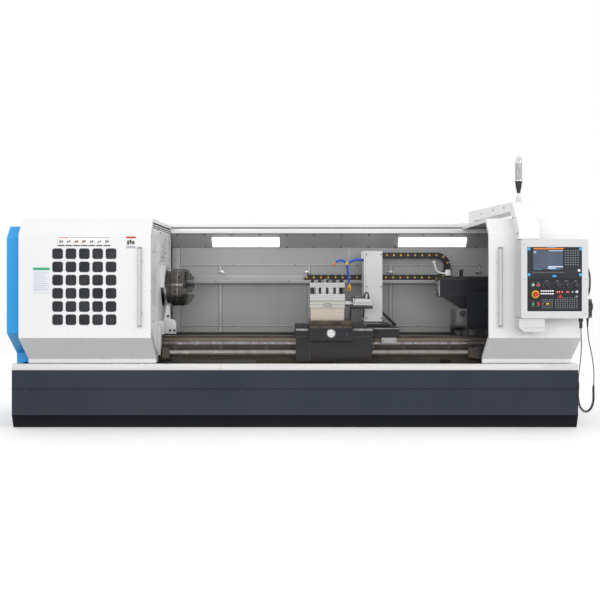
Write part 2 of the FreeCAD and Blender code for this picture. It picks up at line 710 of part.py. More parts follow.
def pendant_arm():
    top = COVER_TOP + 133
    high = top + 64
    outline = [(PENDANT_FRONT + 56, PENDANT_TOP + 5), (PENDANT_FRONT + 56, top - 236), (-1024, top), (-940, top),
               (BACK + 350, high), (BACK + 350, CABINET_TOP), (BACK + 50, CABINET_TOP),
               (BACK + 50, CABINET_TOP + 25), (-960, COVER_TOP + 57), (PENDANT_BACK - 22, top - 238),
               (PENDANT_BACK - 22, PENDANT_TOP + 5)]
    outer = prism(outline, ARM_X, ARM_END)
    points = [V(ARM_X, y, z) for y, z in outline]
    room = Part.makePolygon(points + [points[0]]).makeOffset2D(-SHEET, 2)
    room = Part.Face(room).extrude(V(ARM_END - ARM_X - 2 * SHEET, 0, 0))
    room.translate(V(SHEET, 0, 0))
    duct = outer.cut(room)
    mouth = post(SWIVEL_X, SWIVEL_Y, PENDANT_TOP, PENDANT_TOP + 15, 50)
    tail = box(ARM_X + 20, ARM_END - 20, BACK + 80, BACK + 320, CABINET_TOP - 1, CABINET_TOP + 10)
    return duct.cut(mouth).cut(tail)


def signal_lamp():
    x, y, z = (ARM_X + ARM_END) / 2 - 18, -982, COVER_TOP + 133
    foot = post(x, y, z, z + 12, 36)
    pole = post(x, y, z + 12, z + 136, 11)
    cone = Part.makeCone(22, 32, 110, V(x, y, z + 136))
    lens = post(x, y, z + 246, z + 366, 30)
    cap = Part.makeSphere(30, V(x, y, z + 366), V(0, 0, 1), 0, 90, 360)
    return join([foot, pole, cone, lens, cap])


def pendant_box():
    w = SHEET
    outer = box(PENDANT_X, PENDANT_END, PENDANT_FRONT, PENDANT_BACK, PENDANT_FOOT, PENDANT_TOP)
    outer = outer.makeFillet(12, [e for e in outer.Edges if e.BoundBox.YLength > 100])
    inner = box(PENDANT_X + w, PENDANT_END - w, PENDANT_FRONT + PLATE, PENDANT_BACK - w, PENDANT_FOOT + w,
                PENDANT_TOP - w)
    shell = outer.cut(inner)
    for z0, z1 in ((PANEL_FOOT, PANEL_TOP), (DISPLAY_FOOT, DISPLAY_TOP)):
        shell = shell.cut(box(FACE_X, FACE_END, PENDANT_FRONT - 1, PENDANT_FRONT + PLATE + 1, z0, z1))
    neck = post(SWIVEL_X, SWIVEL_Y, PENDANT_TOP, PENDANT_TOP + 4, 60)
    x0, x1 = PENDANT_X - 12, PENDANT_X + 199
    tank = [V(x0, PENDANT_FRONT + 20, PENDANT_FOOT - 79), V(x0 + 40, PENDANT_FRONT + 20, PENDANT_FOOT - 112),
            V(x1, PENDANT_FRONT + 20, PENDANT_FOOT - 112),
            V(x1, PENDANT_FRONT + 20, PENDANT_FOOT), V(x0, PENDANT_FRONT + 20, PENDANT_FOOT)]
    tank = Part.Face(Part.makePolygon(tank + [tank[0]])).extrude(V(0, 180, 0))
    high, low = PENDANT_TOP - 242, PENDANT_TOP - 459
    x = PENDANT_END
    bow = bent_rod([V(x, CORD_Y, high), V(x + 34, CORD_Y, high), V(x + 34, CORD_Y, low), V(x, CORD_Y, low)], 9)
    return join([shell, neck, tank, bow])


def display_unit():
    plate = box(FACE_X, FACE_END, PENDANT_FRONT + 2, PENDANT_FRONT + PLATE + 14, DISPLAY_FOOT, DISPLAY_TOP)
    body = box(FACE_X + 20, FACE_END - 20, PENDANT_FRONT + PLATE + 14, PENDANT_BACK - 90,
               DISPLAY_FOOT + 20, DISPLAY_TOP - 20)
    return join([plate, body])


def at_panel(across, up):
    """A place on the operator's panel, from its lower left corner."""
    return FACE_X + across, PANEL_FOOT + up


ESTOP = (68, 139)
START = (47, 215)
STOP = (89, 215)
MODE = (160, 211)
STEM_R = 6


def control_panel():
    plate = box(FACE_X, FACE_END, PANEL_FACE, PANEL_FACE + 24, PANEL_FOOT, PANEL_TOP)
    for place in (ESTOP, START, STOP, MODE):
        x, z = at_panel(*place)
        plate = plate.cut(stud(x, PANEL_FACE - 1, PANEL_FACE + 25, z, STEM_R + 0.4))
    return plate


def push_button(place, r, stand, travel):
    x, z = at_panel(*place)
    cap = stud(x, PANEL_FACE - stand, PANEL_FACE - travel - GAP, z, r)
    cap = cap.makeFillet(2, [e for e in cap.Edges if abs(e.BoundBox.YMin - PANEL_FACE + stand) < 0.1
                             and e.BoundBox.YLength < 0.1])
    return join([cap, stud(x, PANEL_FACE - travel - GAP, PANEL_FACE + 30, z, STEM_R)])


def estop_button():
    return push_button(ESTOP, 20, 32, 6)


def start_button():
    return push_button(START, BUTTON_DIA / 2, 16, 4)


def stop_button():
    return push_button(STOP, BUTTON_DIA / 2, 16, 4)


def mode_knob():
    x, z = at_panel(*MODE)
    skirt = stud(x, PANEL_FACE - 8, PANEL_FACE - 1, z, 15)
    grip = box(x - 4, x + 4, PANEL_FACE - 22, PANEL_FACE - 8, z - 13, z + 13)
    return join([skirt, grip, stud(x, PANEL_FACE - 1, PANEL_FACE + 30, z, STEM_R)])


def mpg_box():
    x0, x1 = PENDANT_END, PENDANT_END + 46
    body = box(x0 + 4, x1, CORD_Y - 50, CORD_Y + 50, PENDANT_FOOT + 1, PENDANT_FOOT + 157)
    body = body.makeFillet(12, [e for e in body.Edges if e.BoundBox.XLength > 20])
    hook = box(x0, x0 + 4, CORD_Y - 20, CORD_Y + 20, PENDANT_FOOT + 60, PENDANT_FOOT + 130)
    relief = Part.makeCone(6, 10, 76, V(POD_X, CORD_Y, 903 + PENDANT_FOOT - 979), V(0, 0, 1))
    whole = join([body, hook, relief])
    return whole.cut(rod(x1 - 12, x1 + 1, CORD_Y, PENDANT_FOOT + 93, STEM_R + 0.4))


def mpg_dial():
    x, z = PENDANT_END + 46, PENDANT_FOOT + 93
    parts = [rod(x + 0.5, x + 13, CORD_Y, z, 34), rod(x - 10, x + 0.5, CORD_Y, z, STEM_R),
             rod(x + 13, x + 22, CORD_Y + 20, z + 12, 6)]
    return join(parts)


def cord_points(route):
    shift = V(PENDANT_END - 2404, CORD_Y, PENDANT_FOOT - 979)
    return [V(x, 0, z) + shift for x, z in route]


def cord_plug():
    x, z = LEAD_BACK[-1][0] + PENDANT_END - 2404, PENDANT_FOOT
    return join([post(x, CORD_Y, z - 30, z, 19), post(x, CORD_Y, z - 86, z - 30, 13)])


NODES = {
    "base_cabinet": base_cabinet, "chip_tray": chip_tray, "bed": bed, "headstock": headstock,
    "headstock_cover": headstock_cover, "end_cover": end_cover, "tail_cover": tail_cover,
    "back_guard": back_guard, "rear_cover": rear_cover, "work_lamps": work_lamps, "spindle": spindle,
    "chuck_body": chuck_body, "spindle_pulley": spindle_pulley,
    "motor_pulley": motor_pulley, "drive_belt": drive_belt, "main_motor": main_motor, "z_screw": z_screw,
    "z_motor": z_motor, "saddle": saddle, "apron": apron, "column_cover": column_cover,
    "chain_lower": chain_lower, "chain_upper": chain_upper, "chain_bend": chain_bend,
    "cross_slide": cross_slide, "turret_base": turret_base, "turret_head": turret_head,
    "turret_motor": turret_motor, "coolant_hose": coolant_hose, "coolant_tap": coolant_tap,
    "tailstock_body": tailstock_body, "quill": quill, "tailstock_wheel": tailstock_wheel,
    "clamp_lever": clamp_lever, "left_door": left_door, "left_windows": left_windows,
    "left_handle": left_handle, "right_door": right_door, "right_handle": right_handle,
    "electrical_cabinet": electrical_cabinet, "cabinet_door": cabinet_door, "pendant_arm": pendant_arm,
    "signal_lamp": signal_lamp, "pendant_box": pendant_box, "display_unit": display_unit,
    "control_panel": control_panel, "estop_button": estop_button, "start_button": start_button,
    "stop_button": stop_button, "mode_knob": mode_knob, "mpg_box": mpg_box, "mpg_dial": mpg_dial,
    "cord_plug": cord_plug,
}

os.makedirs("parts", exist_ok=True)


def save(name, shape):
    if not shape.isValid() or shape.Volume <= 0:
        raise ValueError(name + " is not a sound solid")
    shape.exportStep("parts/" + name + ".step")


for name, make in NODES.items():
    save(name, make())
for quarter in range(4):
    save("jaw_" + str(quarter + 1), jaw(quarter))
save("cord_lead_out", tube(cord_points(LEAD_OUT), CORD_R))
save("cord_curl", tube(cord_points(CURL), COIL_R))
save("cord_lead_back", tube(cord_points(LEAD_BACK), CORD_R))
print("nodes", len(NODES) + 7)
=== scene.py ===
import bpy
import bmesh
import math
from mathutils import Matrix, Vector


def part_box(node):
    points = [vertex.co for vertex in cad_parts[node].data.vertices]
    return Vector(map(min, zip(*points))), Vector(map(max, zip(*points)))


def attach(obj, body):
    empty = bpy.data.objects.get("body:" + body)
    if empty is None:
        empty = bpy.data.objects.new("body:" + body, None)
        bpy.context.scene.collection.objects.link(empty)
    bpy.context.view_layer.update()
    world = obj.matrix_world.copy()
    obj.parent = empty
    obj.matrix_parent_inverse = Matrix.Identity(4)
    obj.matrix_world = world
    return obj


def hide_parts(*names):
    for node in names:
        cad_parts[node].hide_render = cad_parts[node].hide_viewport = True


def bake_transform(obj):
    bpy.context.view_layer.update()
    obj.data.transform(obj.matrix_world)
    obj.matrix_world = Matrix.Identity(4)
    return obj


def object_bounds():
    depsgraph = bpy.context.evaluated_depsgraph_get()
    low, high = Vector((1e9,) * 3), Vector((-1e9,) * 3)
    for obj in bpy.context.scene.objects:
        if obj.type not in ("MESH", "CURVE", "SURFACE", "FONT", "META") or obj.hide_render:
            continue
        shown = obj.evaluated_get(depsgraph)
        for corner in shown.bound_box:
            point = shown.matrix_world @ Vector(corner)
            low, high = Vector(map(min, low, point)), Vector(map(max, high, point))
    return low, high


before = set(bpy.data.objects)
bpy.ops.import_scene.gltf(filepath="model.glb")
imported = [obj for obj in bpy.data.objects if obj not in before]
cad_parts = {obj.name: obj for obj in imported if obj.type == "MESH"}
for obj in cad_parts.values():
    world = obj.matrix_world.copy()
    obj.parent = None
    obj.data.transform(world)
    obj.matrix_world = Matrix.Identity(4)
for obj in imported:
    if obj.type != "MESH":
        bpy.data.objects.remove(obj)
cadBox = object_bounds()
milli = 0.001
axisOf = {"X": Vector((1, 0, 0)), "Y": Vector((0, 1, 0)), "Z": Vector((0, 0, 1))}


def extent(node):
    low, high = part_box(node)
    return low[0] * 1000, high[0] * 1000, low[1] * 1000, high[1] * 1000, low[2] * 1000, high[2] * 1000


view = {"back": 8.5, "aside": 0.044, "eye": 1.293, "lens": 60, "sensor": 36, "shift": -20 / 600}


def placeCamera():
    data = bpy.data.cameras.new("camera")
    data.lens, data.sensor_width, data.shift_y = view["lens"], view["sensor"], view["shift"]
    data.clip_end = 60
    camera = bpy.data.objects.new("camera", data)
    camera.location = (view["aside"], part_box("left_door")[0][1] - view["back"], view["eye"])
    camera.rotation_euler = (math.pi / 2, 0, 0)
    bpy.context.collection.objects.link(camera)
    bpy.context.scene.camera = camera


studio = {
    "keyPower": 335, "topPower": 15, "sidePower": 45, "backPower": 50,
    "stripPower": 45, "sky": 0.88, "floorGlow": 0.13, "backdrop": 1.0, "floor": 0.95, "bounce": 0.3,
}


def areaLight(name, place, target, size, power):
    data = bpy.data.lights.new(name, "AREA")
    data.shape, data.size, data.size_y, data.energy = "RECTANGLE", size[0], size[1], power
    light = bpy.data.objects.new(name, data)
    light.location = place
    light.rotation_euler = (Vector(target) - Vector(place)).to_track_quat("-Z", "Y").to_euler()
    bpy.context.collection.objects.link(light)
    return light


def lightStudio():
    key = areaLight("keyLight", (0.5, -9.5, 2.5), (0, 0, 1.1), (8.0, 2.0), studio["keyPower"])
    key.visible_glossy = False  # soft fill with no mirror image in the dark enamel
    strip = areaLight("stripLight", (-2.6, -5.5, 2.9), (-1.4, 0, 1.2), (2.6, 0.35), studio["stripPower"])
    strip.visible_diffuse = False  # only draws the highlights on the round steel
    areaLight("topLight", (0.3, -1.6, 5.4), (0.2, -0.2, 1.0), (7.5, 3.2), studio["topPower"])
    areaLight("rightLight", (6.5, -4.5, 2.6), (0.5, 0, 1.0), (3.0, 3.0), studio["sidePower"])
    areaLight("backLight", (-1.0, 6.0, 4.5), (0, 0, 1.0), (6.0, 3.0), studio["backPower"])
    world = bpy.data.worlds.new("studioWorld")
    bpy.context.scene.world = world
    world.use_nodes = True
    tree = world.node_tree
    sky = tree.nodes["Background"]
    backdrop, seen, blend = [tree.nodes.new("ShaderNode" + kind) for kind in ("Background", "LightPath", "MixShader")]
    for node, strength in ((sky, studio["sky"]), (backdrop, studio["backdrop"])):
        node.inputs["Color"].default_value = (1, 1, 1, 1)
        node.inputs["Strength"].default_value = strength
    tree.links.new(seen.outputs["Is Camera Ray"], blend.inputs[0])
    tree.links.new(sky.outputs[0], blend.inputs[1])
    tree.links.new(backdrop.outputs[0], blend.inputs[2])
    tree.links.new(blend.outputs[0], tree.nodes["World Output"].inputs["Surface"])
    bpy.context.scene.view_settings.view_transform = "Standard"
    bm = bmesh.new()
    bmesh.ops.create_grid(bm, x_segments=1, y_segments=1, size=30)
    mesh = bpy.data.meshes.new("floor")
    bm.to_mesh(mesh)
    floor = bpy.data.objects.new("floor", mesh)
    bpy.context.collection.objects.link(floor)
    floor.location.z = cadBox[0][2] - 0.001
    finish = bpy.data.materials.new("studioFloor")
    finish.use_nodes = True
    skin = finish.node_tree.nodes["Principled BSDF"]
    seenFloor = finish.node_tree.nodes.new("ShaderNodeMapRange")
    direct = finish.node_tree.nodes.new("ShaderNodeLightPath")
    finish.node_tree.links.new(direct.outputs["Is Diffuse Ray"], seenFloor.inputs["Value"])
    seenFloor.inputs["To Min"].default_value = studio["floor"]
    seenFloor.inputs["To Max"].default_value = studio["bounce"]
    finish.node_tree.links.new(seenFloor.outputs["Result"], skin.inputs["Base Color"])
    skin.inputs["Roughness"].default_value = 0.75
    skin.inputs["Emission Color"].default_value = (1, 1, 1, 1)
    skin.inputs["Emission Strength"].default_value = studio["floorGlow"]
    mesh.materials.append(finish)


placeCamera()
lightStudio()
print("camera and light placed")


def newGroup(name, takes, gives):
    tree = bpy.data.node_groups.new(name, "ShaderNodeTree")
    for label, kind, value in takes:
        socket = tree.interface.new_socket(name=label, in_out="INPUT", socket_type="NodeSocket" + kind)
        if value is not None:
            socket.default_value = value
    for label, kind in gives:
        tree.interface.new_socket(name=label, in_out="OUTPUT", socket_type="NodeSocket" + kind)
    return tree, tree.nodes.new("NodeGroupInput"), tree.nodes.new("NodeGroupOutput")


def addNode(tree, kind, **settings):
    node = tree.nodes.new(kind)
    for key, value in settings.items():
        setattr(node, key, value)
    return node


def mathNode(tree, operation, a, b=None, clamp=False):
    node = addNode(tree, "ShaderNodeMath", operation=operation, use_clamp=clamp)
    for socket, value in zip(node.inputs, (a, b)):
        if isinstance(value, (int, float)):
            socket.default_value = value
        elif value is not None:
            tree.links.new(value, socket)
    return node.outputs[0]


def buildEdgeWear():
    tree, start, end = newGroup(
        "edgeWear",
        [("Vector", "Vector", None), ("Radius", "Float", 0.002), ("Amount", "Float", 0.5), ("Scale", "Float", 60.0)],
        [("Mask", "Float"), ("Normal", "Vector")])
    bevel = addNode(tree, "ShaderNodeBevel", samples=4)
    tree.links.new(start.outputs["Radius"], bevel.inputs["Radius"])
    flat = addNode(tree, "ShaderNodeNewGeometry")
    dot = addNode(tree, "ShaderNodeVectorMath", operation="DOT_PRODUCT")
    tree.links.new(bevel.outputs["Normal"], dot.inputs[0])
    tree.links.new(flat.outputs["Normal"], dot.inputs[1])
    noise = addNode(tree, "ShaderNodeTexNoise")
    noise.inputs["Detail"].default_value = 4
    tree.links.new(start.outputs["Vector"], noise.inputs["Vector"])
    tree.links.new(start.outputs["Scale"], noise.inputs["Scale"])
    bent = mathNode(tree, "SUBTRACT", 1.0, dot.outputs["Value"])
    rub = mathNode(tree, "SUBTRACT", noise.outputs[0], 0.42)
    rub = mathNode(tree, "MULTIPLY", rub, 5.0, clamp=True)
    mask = mathNode(tree, "MULTIPLY", mathNode(tree, "MULTIPLY", bent, 9.0, clamp=True), rub)
    mask = mathNode(tree, "MULTIPLY", mask, start.outputs["Amount"], clamp=True)
    tree.links.new(mask, end.inputs["Mask"])
    tree.links.new(bevel.outputs["Normal"], end.inputs["Normal"])
    return tree


def buildGrain():
    tree, start, end = newGroup(
        "brushGrain", [("Vector", "Vector", None), ("Stretch", "Vector", (1, 40, 40)), ("Scale", "Float", 30.0)],
        [("Height", "Float"), ("Tone", "Float")])
    mapping = addNode(tree, "ShaderNodeMapping")
    tree.links.new(start.outputs["Vector"], mapping.inputs["Vector"])
    tree.links.new(start.outputs["Stretch"], mapping.inputs["Scale"])
    for factor, detail, label in ((1.0, 6, "Height"), (0.22, 3, "Tone")):
        noise = addNode(tree, "ShaderNodeTexNoise")
        noise.inputs["Detail"].default_value = detail
        tree.links.new(mapping.outputs["Vector"], noise.inputs["Vector"])
        tree.links.new(mathNode(tree, "MULTIPLY", start.outputs["Scale"], factor), noise.inputs["Scale"])
        tree.links.new(noise.outputs[0], end.inputs[label])
    return tree


def buildMottle():
    tree, start, end = newGroup(
        "coatMottle", [("Vector", "Vector", None), ("Scale", "Float", 2.0), ("Skin Scale", "Float", 260.0)],
        [("Tone", "Float"), ("Height", "Float")])
    slow = addNode(tree, "ShaderNodeTexNoise")
    slow.inputs["Detail"].default_value = 5
    fast = addNode(tree, "ShaderNodeTexNoise")
    fast.inputs["Detail"].default_value = 2
    for noise, size in ((slow, "Scale"), (fast, "Skin Scale")):
        tree.links.new(start.outputs["Vector"], noise.inputs["Vector"])
        tree.links.new(start.outputs[size], noise.inputs["Scale"])
    spread = mathNode(tree, "MULTIPLY", mathNode(tree, "SUBTRACT", slow.outputs[0], 0.3), 2.5, clamp=True)
    tree.links.new(spread, end.inputs["Tone"])
    tree.links.new(fast.outputs[0], end.inputs["Height"])
    return tree


def buildGrimeAndTopShade():
    tree, start, end = newGroup(
        "grimeAndTopShade",
        [("Vector", "Vector", None), ("Low", "Float", 0.0), ("High", "Float", 0.4), ("Amount", "Float", 0.3),
         ("Up Share", "Float", 0.3)],
        [("Mask", "Float")])
    split = addNode(tree, "ShaderNodeSeparateXYZ")
    tree.links.new(start.outputs["Vector"], split.inputs[0])
    span = addNode(tree, "ShaderNodeMapRange")
    tree.links.new(split.outputs["Z"], span.inputs["Value"])
    tree.links.new(start.outputs["Low"], span.inputs["From Min"])
    tree.links.new(start.outputs["High"], span.inputs["From Max"])
    span.inputs["To Min"].default_value, span.inputs["To Max"].default_value = 1, 0
    flat = addNode(tree, "ShaderNodeNewGeometry")
    up = addNode(tree, "ShaderNodeSeparateXYZ")
    tree.links.new(flat.outputs["Normal"], up.inputs[0])
    # Upward faces take a share of the film: dust, and on the white paint also painted shade on the lit tops.
    lift = mathNode(tree, "MULTIPLY", mathNode(tree, "MAXIMUM", up.outputs["Z"], 0.0), start.outputs["Up Share"])
    noise = addNode(tree, "ShaderNodeTexNoise")
    noise.inputs["Scale"].default_value, noise.inputs["Detail"].default_value = 7, 8
    tree.links.new(start.outputs["Vector"], noise.inputs["Vector"])
    whole = mathNode(tree, "ADD", span.outputs["Result"], lift)
    patches = mathNode(tree, "ADD", mathNode(tree, "MULTIPLY", noise.outputs[0], 0.7), 0.55)
    whole = mathNode(tree, "MULTIPLY", whole, patches)
    tree.links.new(mathNode(tree, "MULTIPLY", whole, start.outputs["Amount"], clamp=True), end.inputs["Mask"])
    return tree


groups = {"edge": buildEdgeWear(), "grain": buildGrain(), "mottle": buildMottle(), "grimeAndShade": buildGrimeAndTopShade()}


def placeGroup(tree, key, coordinates, **values):
    node = addNode(tree, "ShaderNodeGroup", node_tree=groups[key])
    tree.links.new(coordinates, node.inputs["Vector"])
    for label, value in values.items():
        node.inputs[label.replace("_", " ")].default_value = value
    return node


def mixColour(tree, factor, a, b):
    node = addNode(tree, "ShaderNodeMix", data_type="RGBA")
    tree.links.new(factor, node.inputs["Factor"])
    for socket, value in ((node.inputs["A"], a), (node.inputs["B"], b)):
        if isinstance(value, tuple):
            socket.default_value = value + (1,)
        else:
            tree.links.new(value, socket)
    return node.outputs["Result"]


def coated(name, colour, other=None, rough=0.35, roughSpread=0.12, metal=0.0, coat=0.0, mottle=2.0,
        skin=260.0, skinHeight=0.00012, grain=None, grainScale=30.0, grainHeight=0.0001,
        wear=None, wearAmount=0.5, wearRadius=0.0015, grimeAndShade=None, grimeAndShadeAmount=0.0, grimeBand=(0.0, 0.5),
        upShare=0.2, specular=0.5):
    material = bpy.data.materials.new(name)
    material.use_nodes = True
    tree = material.node_tree
    shader = tree.nodes["Principled BSDF"]
    where = addNode(tree, "ShaderNodeTexCoord").outputs["Object"]
    body = placeGroup(tree, "mottle", where, Scale=mottle, Skin_Scale=skin)
    edge = placeGroup(tree, "edge", where, Radius=wearRadius, Amount=wearAmount)
    tone, height, heightStep = body.outputs["Tone"], body.outputs["Height"], skinHeight
    if grain:
        lines = placeGroup(tree, "grain", where, Stretch=grain, Scale=grainScale)
        tone, height, heightStep = lines.outputs["Tone"], lines.outputs["Height"], grainHeight
    result = mixColour(tree, tone, colour, other or tuple(c * 0.86 for c in colour))
    # Grime film, which on the white paint also carries painted shade on upward faces.
    if grimeAndShade:
        grimeShadeFilm = placeGroup(tree, "grimeAndShade", where, Low=grimeBand[0], High=grimeBand[1], Amount=grimeAndShadeAmount)
        grimeShadeFilm.inputs["Up Share"].default_value = upShare
        result = mixColour(tree, grimeShadeFilm.outputs["Mask"], result, grimeAndShade)
    if wear:
        result = mixColour(tree, edge.outputs["Mask"], result, wear)
    tree.links.new(result, shader.inputs["Base Color"])
    spread = addNode(tree, "ShaderNodeMapRange")
    tree.links.new(tone, spread.inputs["Value"])
    spread.inputs["To Min"].default_value = max(rough - roughSpread, 0.02)
    spread.inputs["To Max"].default_value = min(rough + roughSpread, 1.0)
    tree.links.new(spread.outputs["Result"], shader.inputs["Roughness"])
    bump = addNode(tree, "ShaderNodeBump")
    bump.inputs["Strength"].default_value = 1.0
    bump.inputs["Distance"].default_value = heightStep
    tree.links.new(height, bump.inputs["Height"])
    tree.links.new(edge.outputs["Normal"], bump.inputs["Normal"])
    tree.links.new(bump.outputs["Normal"], shader.inputs["Normal"])
    shader.inputs["Metallic"].default_value = metal
    shader.inputs["Coat Weight"].default_value = coat
    shader.inputs["Coat Roughness"].default_value = 0.12
    shader.inputs["Specular IOR Level"].default_value = specular
    return material


def glowing(name, colour, strength, other):
    material = coated(name, colour, other, rough=0.3, roughSpread=0.05)
    shader = material.node_tree.nodes["Principled BSDF"]
    shader.inputs["Emission Color"].default_value = colour + (1,)
    shader.inputs["Emission Strength"].default_value = strength
    return material


def clear(name, colour, rough, alpha):
    material = coated(name, colour, rough=rough, roughSpread=0.03, skinHeight=0.00002)
    shader = material.node_tree.nodes["Principled BSDF"]
    shader.inputs["Alpha"].default_value = alpha
    return material


oil = (0.09, 0.06, 0.035)

